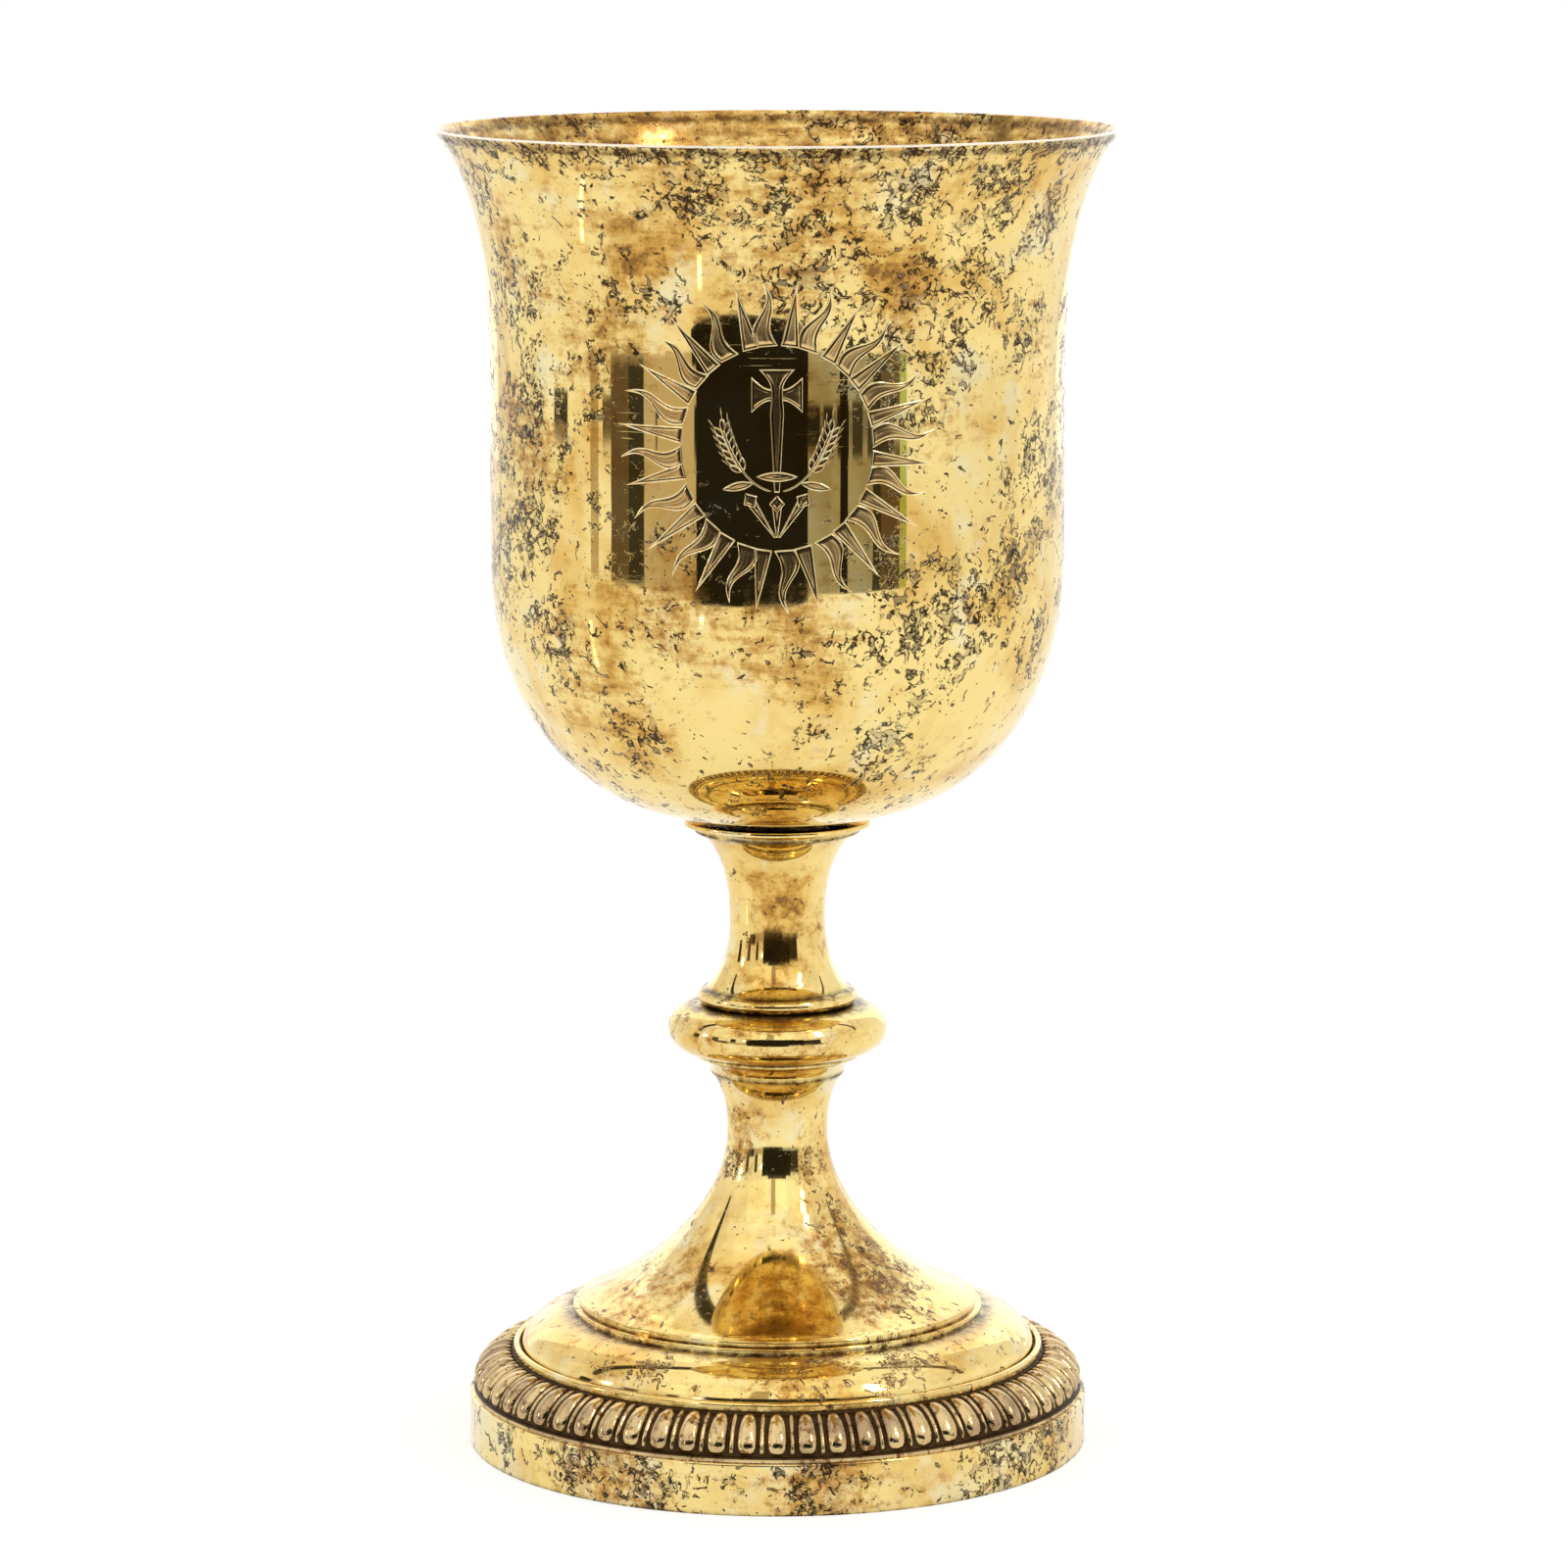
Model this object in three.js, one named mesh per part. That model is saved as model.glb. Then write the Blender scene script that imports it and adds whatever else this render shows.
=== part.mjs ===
// Communion chalice: a flared bowl on a waisted stem with a flattened knop, over a trumpet foot
// with a gadrooned border. The pieces are turned or raised round one axis and clamped together
// by a threaded rod, which hangs from the bowl and takes a nut inside the foot.
//
// Millimetres, +Z up. The origin is the centre of the foot's resting face.

import * as THREE from 'three';

// ---- Driving dimensions -------------------------------------------------------------------

const HEIGHT = 240;            // floor to lip
const MOUTH_R = 61.4;          // lip, outside
const LIP_W = 1.0;             // width of the flat top of the lip
const BOWL_R = 51.7;           // straight wall of the bowl, outside
const BOWL_WALL = 1.0;
const BOWL_SEAT_R = 10;        // flat under the bowl, where the boss is soldered
const BOWL_Z = 115.5;          // underside of the bowl

const NECK_R = 8.7;            // thinnest part of the upper stem
const STEM_WALL = 1.2;
const FLANGE_R = 17;           // drip flange under the bowl
const FLANGE_TOP_Z = 115;
const STEM_TOP_Z = 112.8;      // upper stem meets the flange
const STEM_FOOT_Z = 83.9;      // upper stem meets its ring
const RING_R = 14.5;           // half-round ring above the knop

const KNOP_R = 20;
const KNOP_TOP_Z = 81.1;
const KNOP_FOOT_Z = 72.2;
const KNOP_WALL = 1.0;
const KNOP_FLAT_R = 14;        // flat top and bottom of the knop
const COLLAR_R = 14.9;         // collar below the knop
const COLLAR_FOOT_R = 12.2;

const TRUMPET_TOP_Z = 68.4;
const WAIST_R = 9.2;           // thinnest part of the lower stem
const WAIST_Z = 57.7;
const TRUMPET_R = 36.4;        // rolled lower edge of the trumpet
const TIER_TOP_Z = 25.3;       // the trumpet stands on the tier here

const TIER_TOP_R = 37.5;
const TIER_R = 47;
const TIER_FOOT_Z = 16.9;      // the tier and its wire stand on the gadroon border here
const WIRE_R = 0.62;           // half the wire's thickness

const LOBES = 64;              // gadroons round the border
const LOBE_RISE = 1.0;         // crest of a gadroon above the groove beside it
const BORDER_R = 55.8;
const BAND_TOP_Z = 9.4;        // the gadroon border stands on the rim band here
const FOOT_R = 56.5;
const BAND_WALL = 1.2;

const ROD_R = 3;               // M6 rod, plain over the thread's crests
const ROD_FOOT_Z = 27.5;
const HOLE_R = 3.4;            // clearance holes on the rod
const SOLDER_GAP = 0.3;        // between soldered walls that lie side by side
const BRIDGE_TOP_Z = 38.1;     // plate across the trumpet
const BRIDGE_T = 1.5;
const WASHER_R = 9.5;
const WASHER_T = 1.2;
const NUT_FLATS = 11;
const NUT_T = 5.2;
const NUT_BORE_R = 3.15;

const SIDES = 32;              // facets round the bowl and the foot
const SMALL_SIDES = 24;        // facets round the stem's pieces

// ---- Materials ----------------------------------------------------------------------------

const metal = (color, roughness) => () =>
  new THREE.MeshStandardMaterial({ color, roughness, metalness: 1 });

const gilt = metal(0xe0bf78, 0.16);
const wornGilt = metal(0xc9a869, 0.3);
const castGilt = metal(0xa88c5c, 0.34);
const silver = metal(0xb9b4a8, 0.36);
const steel = metal(0x8d8f92, 0.42);

// ---- Shapes -------------------------------------------------------------------------------

// A point of a half-section: distance from the axis, and height.
const at = (r, z) => new THREE.Vector2(r, z);

// A smooth stretch of a half-section, from a to d, that leaves a towards b and reaches d from c.
const bend = (a, b, c, d, steps) => new THREE.CubicBezierCurve(a, b, c, d).getPoints(steps);

// A round stretch of a half-section, with its angles in degrees from the outward direction.
function round(r, z, radius, from, to, steps) {
  const { degToRad } = THREE.MathUtils;
  return new THREE.EllipseCurve(r, z, radius, radius, degToRad(from), degToRad(to), to < from)
    .getPoints(steps);
}

// Drops a point that repeats the one before it, and walks the outside of the section upwards.
function tidied(section) {
  const points = section.filter((p, i) => i === 0 || p.distanceTo(section[i - 1]) > 1e-4);
  return THREE.ShapeUtils.area(points) < 0 ? points.reverse() : points;
}

// Turns a closed half-section round the Z axis. A section that stays off the axis is closed here.
function turned(section, sides = SIDES) {
  const points = tidied(section);
  const onAxis = points[0].x === 0 || points.at(-1).x === 0;
  if (!onAxis) points.push(points[0].clone());
  return new THREE.LatheGeometry(points, sides).rotateX(Math.PI / 2);
}

// A half-section made of an outer line and the same line moved in by a wall's thickness.
function walled(outer, wall) {
  const inner = outer.map((p) => at(p.x - wall, p.y)).reverse();
  return [...outer, ...inner];
}

// A flat disc or tube: inner and outer radius, bottom and top.
const flat = (r0, r1, z0, z1) => [at(r0, z0), at(r1, z0), at(r1, z1), at(r0, z1)];

const chalice = new THREE.Group();

function add(name, geometry, material) {
  const mesh = new THREE.Mesh(geometry, material());
  mesh.name = name;
  chalice.add(mesh);
  return mesh;
}

// ---- Bowl ---------------------------------------------------------------------------------

// One side of the bowl from the seat to the lip. The inner side is set in by the wall.
function bowlSide(seatZ, wallR, lipR, shoulderR) {
  const straightFrom = 163;
  const straightTo = 193.8;
  const shoulder = bend(at(BOWL_SEAT_R, seatZ), at(shoulderR, seatZ),
    at(wallR, 135), at(wallR, straightFrom), 7);
  const flare = bend(at(wallR, straightTo), at(wallR, 221.6),
    at(lipR - 5.1, 233.4), at(lipR, HEIGHT), 5);
  return [at(0, seatZ), ...shoulder, ...flare];
}

function bowl() {
  const outer = bowlSide(BOWL_Z, BOWL_R, MOUTH_R, 36);
  const inner = bowlSide(BOWL_Z + 1.1, BOWL_R - BOWL_WALL, MOUTH_R - LIP_W, 35.5);
  return turned([...outer, ...inner.reverse()]);
}

// Stepped boss soldered under the bowl, with a blind hole for the rod.
function bowlBoss() {
  const shoulderZ = 113.6;
  const footZ = 106;
  const holeR = ROD_R + SOLDER_GAP;
  const holeTopZ = 112.6;
  return turned([
    at(0, holeTopZ), at(holeR, holeTopZ), at(holeR, footZ), at(6, footZ), at(6, shoulderZ),
    at(9, shoulderZ), at(9, BOWL_Z), at(0, BOWL_Z),
  ], SMALL_SIDES);
}

// ---- Stem ---------------------------------------------------------------------------------

// Drip flange: counterbored for the boss, with a moulded edge and a spigot inside the stem.
function stemTopFlange() {
  const counterboreZ = 113.6;
  const boreR = 6.3;
  const counterboreR = 9.3;
  const spigotR = 8.4;
  const underR = 15;
  const cove = bend(at(underR, 113.3), at(underR + 0.2, 113.9), at(16, 114), at(FLANGE_R - 0.2, 114), 2);
  return turned([
    at(boreR, 111.4), at(spigotR, 111.4), at(spigotR, STEM_TOP_Z), at(underR, STEM_TOP_Z),
    ...cove, at(FLANGE_R, 114.2), at(FLANGE_R, 114.8), at(FLANGE_R - 0.2, FLANGE_TOP_Z),
    at(counterboreR, FLANGE_TOP_Z), at(counterboreR, counterboreZ), at(boreR, counterboreZ),
  ], SMALL_SIDES);
}

// Hollow waisted tube between the drip flange and the ring.
function upperStem() {
  const waistZ = 97.1;
  const topR = 14.4;
  const footR = 13.2;
  const lower = bend(at(footR, STEM_FOOT_Z), at(10.2, 86.3), at(NECK_R, 91), at(NECK_R, waistZ), 4);
  const upper = bend(at(NECK_R, waistZ), at(NECK_R, 104.2), at(10.6, 110.3), at(topR, STEM_TOP_Z), 5);
  return turned(walled([...lower, ...upper], STEM_WALL), SMALL_SIDES);
}

// Half-round ring that the upper stem stands on, with a web that centres the rod.
function upperStemRing() {
  const beadR = (STEM_FOOT_Z - KNOP_TOP_Z) / 2;
  const bead = round(RING_R - beadR, KNOP_TOP_Z + beadR, beadR, -90, 90, 4);
  return turned([at(HOLE_R, KNOP_TOP_Z), ...bead, at(HOLE_R, STEM_FOOT_Z)], SMALL_SIDES);
}

// One raised half of the knop, from the equator to the flat face at endZ, round the core tube.
function knopHalf(endZ) {
  const midZ = (KNOP_TOP_Z + KNOP_FOOT_Z) / 2;
  const tubeHoleR = 5.3;
  const curve = (inset) => {
    const rise = endZ - midZ - Math.sign(endZ - midZ) * inset;
    return bend(at(KNOP_R - inset, midZ), at(KNOP_R - inset, midZ + 0.6 * rise),
      at(17.8 - inset, midZ + rise), at(KNOP_FLAT_R - inset, midZ + rise), 4);
  };
  const outer = curve(0);
  const inner = curve(KNOP_WALL);
  const innerEndZ = inner.at(-1).y;
  return turned([...outer, at(tubeHoleR, endZ), at(tubeHoleR, innerEndZ), ...inner.reverse()]);
}

const knopCoreTube = () => turned(flat(3.6, 5, KNOP_FOOT_Z, KNOP_TOP_Z), SMALL_SIDES);

// Coved collar below the knop, with a web that closes the top of the trumpet.
function lowerStemCollar() {
  const cove = bend(at(COLLAR_FOOT_R, 69), at(12.8, 70.4), at(13.8, 71.2), at(COLLAR_R, 71.5), 3);
  return turned([
    at(HOLE_R, TRUMPET_TOP_Z), at(COLLAR_FOOT_R, TRUMPET_TOP_Z), ...cove,
    at(COLLAR_R, 72), at(COLLAR_R - 0.2, KNOP_FOOT_Z), at(HOLE_R, KNOP_FOOT_Z),
  ], SMALL_SIDES);
}

// ---- Foot ---------------------------------------------------------------------------------

// Lower stem and trumpet, raised as one sheet, with a thickened lower edge.
function footTrumpet() {
  const outer = [
    at(TRUMPET_R, TIER_TOP_Z), at(TRUMPET_R, 26.1),
    ...bend(at(35.7, 26.5), at(22.4, 32.6), at(WAIST_R, 43.7), at(WAIST_R, WAIST_Z), 7),
    ...bend(at(WAIST_R, WAIST_Z), at(WAIST_R, 62.7), at(10.3, 66.2),
      at(COLLAR_FOOT_R, TRUMPET_TOP_Z), 3),
  ];
  const inner = [
    ...bend(at(34.8, TIER_TOP_Z), at(21.8, 31.6), at(8.2, 43.3), at(8.2, WAIST_Z), 7),
    ...bend(at(8.2, WAIST_Z), at(8.2, 62.7), at(9.3, 66.2), at(11.2, TRUMPET_TOP_Z), 3),
  ];
  return turned([...outer, ...inner.reverse()]);
}

// Convex step between the trumpet and the border, with a ledge under the trumpet's edge.
function footTier() {
  const ledgeR = 33;
  const outer = [
    at(TIER_R, TIER_FOOT_Z),
    ...bend(at(TIER_R, 17.9), at(46.3, 21.3), at(42.5, 23.6), at(37.9, 24.2), 4),
    at(TIER_TOP_R, 24.5), at(TIER_TOP_R, TIER_TOP_Z),
  ];
  const inner = [
    at(ledgeR, TIER_TOP_Z), at(ledgeR, 24.2), at(36.4, 24.2),
    ...bend(at(37, 23.2), at(41.9, 22.5), at(45.3, 20.5), at(45.9, 17.9), 4),
    at(45.9, TIER_FOOT_Z),
  ];
  return turned([...outer, ...inner]);
}

// Wire that covers the joint between the tier and the gadroons.
function footTierWire() {
  const midR = TIER_R + SOLDER_GAP + WIRE_R;
  const top = round(midR, TIER_FOOT_Z + 0.8, WIRE_R, 0, 180, 4);
  return turned([at(midR - WIRE_R, TIER_FOOT_Z), at(midR + WIRE_R, TIER_FOOT_Z), ...top]);
}

// Cast border: a quarter-round ring whose face swells into gadroons between its two edges.
function gadroonBorder() {
  const face = bend(at(55.3, 10.9), at(55.1, 14.2), at(52, 16.5), at(48.9, 16.6), 4);
  const back = [at(45.2, TIER_FOOT_Z), at(45.2, 15.9), at(53.2, 10.6), at(53.2, BAND_TOP_Z)];
  const section = [at(BORDER_R, BAND_TOP_Z), at(BORDER_R, 10.5), ...face, at(48.7, TIER_FOOT_Z), ...back];
  const geometry = turned(section, 2 * LOBES);
  swell(geometry, face);
  return geometry;
}

// Lifts the ring's face off its centre of curvature, most halfway across and at each crest.
function swell(geometry, face) {
  const first = face[0];
  const last = face.at(-1);
  const centre = at(last.x, first.y);
  const position = geometry.getAttribute('position');
  for (let i = 0; i < position.count; i += 1) {
    const x = position.getX(i);
    const y = position.getY(i);
    const here = at(Math.hypot(x, y), position.getZ(i));
    const onFace = face.some((p) => p.distanceTo(here) < 1e-3);
    if (onFace) {
      const out = here.clone().sub(centre);
      const across = out.angle() / (Math.PI / 2);
      const crest = (1 + Math.cos(LOBES * Math.atan2(y, x))) / 2;
      const lifted = here.clone().addScaledVector(
        out.normalize(), LOBE_RISE * crest * Math.sin(Math.PI * THREE.MathUtils.clamp(across, 0, 1)));
      position.setXYZ(i, x * lifted.x / here.x, y * lifted.x / here.x, lifted.y);
    }
  }
}

// Upright band round the foot, turned in at the top to carry the border.
function footRimBand() {
  const inR = FOOT_R - BAND_WALL;
  const ledgeR = 52;
  return turned([
    at(inR, 0), at(FOOT_R - 0.3, 0), at(FOOT_R, 0.3), at(FOOT_R, BAND_TOP_Z - 0.4),
    at(FOOT_R - 0.4, BAND_TOP_Z), at(ledgeR, BAND_TOP_Z), at(ledgeR, BAND_TOP_Z - 1),
    at(inR, BAND_TOP_Z - 1),
  ]);
}

// Flat wire inside the band, flush with its lower edge.
const footBaseRing = () => turned(flat(51.6, FOOT_R - BAND_WALL - SOLDER_GAP, 0, 1.6));

// ---- Rod and fastening --------------------------------------------------------------------

const tieRod = () => turned([
  at(0, ROD_FOOT_Z), at(ROD_R - 0.5, ROD_FOOT_Z), at(ROD_R, ROD_FOOT_Z + 0.5),
  at(ROD_R, 112.2), at(0, 112.2),
], SMALL_SIDES);

// Plate soldered across the trumpet, which takes the pull of the rod.
function footBridgePlate() {
  const topR = 16.3;
  const footR = 17.8;
  const footZ = BRIDGE_TOP_Z - BRIDGE_T;
  return turned([
    at(HOLE_R, footZ), at(footR, footZ), at(topR, BRIDGE_TOP_Z), at(HOLE_R, BRIDGE_TOP_Z),
  ]);
}

function tieWasher() {
  const topZ = BRIDGE_TOP_Z - BRIDGE_T;
  return turned(flat(HOLE_R, WASHER_R, topZ - WASHER_T, topZ), SMALL_SIDES);
}

// Hexagon nut, with its top face at height zero.
function tieNut() {
  const cornerR = NUT_FLATS / Math.sqrt(3);
  const hexagon = new THREE.Shape();
  for (let i = 0; i < 6; i += 1) {
    const angle = (i * Math.PI) / 3;
    const corner = at(cornerR * Math.cos(angle), cornerR * Math.sin(angle));
    if (i === 0) hexagon.moveTo(corner.x, corner.y);
    else hexagon.lineTo(corner.x, corner.y);
  }
  hexagon.closePath();
  hexagon.holes.push(new THREE.Path().absarc(0, 0, NUT_BORE_R, 0, 2 * Math.PI, true));
  return new THREE.ExtrudeGeometry(hexagon, { depth: NUT_T, bevelEnabled: false, curveSegments: 12 })
    .translate(0, 0, -NUT_T);
}

// ---- Assembly -----------------------------------------------------------------------------

add('bowl', bowl(), gilt);
add('bowl_boss', bowlBoss(), silver);
add('tie_rod', tieRod(), steel);

add('stem_top_flange', stemTopFlange(), gilt);
add('upper_stem', upperStem(), gilt);
add('upper_stem_ring', upperStemRing(), gilt);
add('knop_upper_half', knopHalf(KNOP_TOP_Z), gilt);
add('knop_lower_half', knopHalf(KNOP_FOOT_Z), gilt);
add('knop_core_tube', knopCoreTube(), silver);
add('lower_stem_collar', lowerStemCollar(), gilt);

add('foot_trumpet', footTrumpet(), gilt);
add('foot_tier', footTier(), wornGilt);
add('foot_tier_wire', footTierWire(), wornGilt);
add('gadroon_border', gadroonBorder(), castGilt);
add('foot_rim_band', footRimBand(), wornGilt);
add('foot_base_ring', footBaseRing(), wornGilt);
add('foot_bridge_plate', footBridgePlate(), silver);

add('tie_washer', tieWasher(), steel);
add('tie_nut', tieNut(), steel).position.z = BRIDGE_TOP_Z - BRIDGE_T - WASHER_T;

export default chalice;
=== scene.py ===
"""Looks of the communion chalice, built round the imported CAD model.

Half-sections are lists of (radius, height) in millimetres, walked counter-clockwise, with the
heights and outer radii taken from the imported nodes. Everything is turned into metres at the end.
"""
import math
import random

import bpy
import numpy as np
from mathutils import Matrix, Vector


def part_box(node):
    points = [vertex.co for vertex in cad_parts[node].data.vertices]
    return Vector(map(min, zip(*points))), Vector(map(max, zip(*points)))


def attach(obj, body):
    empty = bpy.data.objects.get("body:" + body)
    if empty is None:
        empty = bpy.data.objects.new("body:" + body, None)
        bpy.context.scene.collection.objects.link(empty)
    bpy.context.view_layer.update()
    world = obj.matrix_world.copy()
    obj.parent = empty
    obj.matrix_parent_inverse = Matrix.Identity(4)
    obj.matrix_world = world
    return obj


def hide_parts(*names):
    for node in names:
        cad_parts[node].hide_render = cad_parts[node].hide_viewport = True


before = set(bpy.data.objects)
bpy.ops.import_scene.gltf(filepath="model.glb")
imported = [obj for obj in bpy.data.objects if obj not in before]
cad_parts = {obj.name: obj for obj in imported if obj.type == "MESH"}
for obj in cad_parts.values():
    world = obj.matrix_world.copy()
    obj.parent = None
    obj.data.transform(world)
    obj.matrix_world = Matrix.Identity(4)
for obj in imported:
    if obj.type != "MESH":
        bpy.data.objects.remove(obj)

MM = 0.001
TAU = 2 * math.pi
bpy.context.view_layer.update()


# ---- Sizes from the frame ----

def radius(node):
    """Outer radius of a turned node, in mm."""
    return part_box(node)[1].x / MM


def foot(node):
    """Lowest height of a node, in mm."""
    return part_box(node)[0].z / MM


def top(node):
    """Highest height of a node, in mm."""
    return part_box(node)[1].z / MM


def extent(node):
    """Lowest height, highest height and outer radius of a turned node, in mm."""
    return foot(node), top(node), radius(node)


WALL_R = 51.7          # straight wall of the bowl
NECK_R = 8.7           # waist of the upper stem
WAIST_R = 9.2          # waist of the lower stem
COLLAR_FOOT_R = 12.2   # where the collar meets the trumpet
WALL = 1.0             # thickness of the raised sheets
STEM_WALL = 1.2
ROD_BORE_R = 3.4       # bore of the pieces that the rod goes through
SEAM_REACH = 0.45      # how far the darkening spreads from a seam
SAME_POINT = 1e-4      # points nearer than this are one point


# ---- Half-sections ----

def distinct(section):
    """The section without the points that repeat the one before."""
    kept = section[:1]
    for point in section[1:]:
        if math.dist(point, kept[-1]) > SAME_POINT:
            kept.append(point)
    return kept


def bend(a, b, c, d, steps):
    """A smooth stretch from a to d that leaves a towards b and reaches d from c."""
    t = np.linspace(0, 1, steps + 1)[:, None]
    a, b, c, d = (np.array(p, float) for p in (a, b, c, d))
    line = (1 - t) ** 3 * a + 3 * (1 - t) ** 2 * t * b + 3 * (1 - t) * t ** 2 * c + t ** 3 * d
    return [tuple(p) for p in line]


def straight(a, b, steps):
    """Evenly spaced points from a to b."""
    return [tuple(p) for p in np.linspace(a, b, steps + 1)]


def arc(r, z, size, start, stop, steps):
    """A round stretch about (r, z), with its angles in degrees from the outward direction."""
    turns = np.radians(np.linspace(start, stop, steps + 1))
    return [(r + size * math.cos(t), z + size * math.sin(t)) for t in turns]


def softened(corners, steps=4):
    """Rounds each corner given as (r, z, size), and leaves plain (r, z) points as they are."""
    made = []
    count = len(corners)
    for i, corner in enumerate(corners):
        here = np.array(corner[:2], float)
        if len(corner) < 3:
            made.append(tuple(here))
            continue
        before = np.array(corners[i - 1][:2], float) - here
        after = np.array(corners[(i + 1) % count][:2], float) - here
        reach = min(corner[2], 0.48 * np.linalg.norm(before), 0.48 * np.linalg.norm(after))
        start = here + before / np.linalg.norm(before) * reach
        stop = here + after / np.linalg.norm(after) * reach
        for t in np.linspace(0, 1, steps + 1):
            made.append(tuple((1 - t) ** 2 * start + 2 * t * (1 - t) * here + t ** 2 * stop))
    return distinct(made)


# ---- Meshes ----

def linked(name, data):
    """A new object in the scene."""
    made = bpy.data.objects.new(name, data)
    bpy.context.scene.collection.objects.link(made)
    return made


def add_mark(mesh, key, values):
    """Stores a number at each point of a mesh, for its material to read."""
    mesh.attributes.new(key, "FLOAT", "POINT")
    mesh.attributes[key].data.foreach_set("value", np.asarray(values, np.float32).ravel())


def mesh_object(name, points, faces, marks, sharp):
    """A shaded mesh from points in mm. marks are named numbers for each point."""
    mesh = bpy.data.meshes.new(name)
    mesh.from_pydata((np.asarray(points) * MM).tolist(), [], faces)
    mesh.validate()
    mesh.update()
    mesh.shade_smooth()
    mesh.set_sharp_from_angle(angle=math.radians(sharp))
    for key, values in marks.items():
        add_mark(mesh, key, values)
    return linked(name, mesh)


def ring_faces(rings, sides, closed):
    """Quads between neighbouring rings of points, facing out when the section goes up outside."""
    faces = []
    for j in range(rings if closed else rings - 1):
        low, high = j * sides, ((j + 1) % rings) * sides
        for i in range(sides):
            after = (i + 1) % sides
            faces.append((low + i, low + after, high + after, high + i))
    return faces


def turned(name, section, sides=256, reshape=None, seams=(), sharp=35):
    """Turns a half-section round the Z axis. It closes on itself, or starts and ends on the axis.
    reshape(r, z, angle) may return new radii and heights. seams are heights where the surface is darkened:
    mostly dirt in the joints, and painted shade along the bottom edge of the rim band."""
    section = distinct(section)
    on_axis = section[0][0] == 0
    body = section[1:-1] if on_axis else section
    angle = np.arange(sides) * TAU / sides
    r, z = (np.repeat(np.array(values)[:, None], sides, 1) for values in zip(*body))
    turn = np.repeat(angle[None, :], len(body), 0)
    if reshape:
        r, z = reshape(r, z, turn)
    points = np.stack([r * np.cos(turn), r * np.sin(turn), z], 2).reshape(-1, 3)
    faces = ring_faces(len(body), sides, closed=not on_axis)
    if on_axis:
        first, last = len(points), len(points) + 1
        points = np.vstack([points, [0, 0, section[0][1]], [0, 0, section[-1][1]]])
        final = (len(body) - 1) * sides
        for i in range(sides):
            after = (i + 1) % sides
            faces.append((first, after, i))
            faces.append((last, final + i, final + after))
    grime_and_shade = np.zeros(len(points))
    for height in seams:
        grime_and_shade = np.maximum(grime_and_shade, np.exp(-((points[:, 2] - height) / SEAM_REACH) ** 2))
    return mesh_object(name, points, faces, {"grime_and_shade": grime_and_shade}, sharp)


# ---- Shader nodes ----

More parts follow.
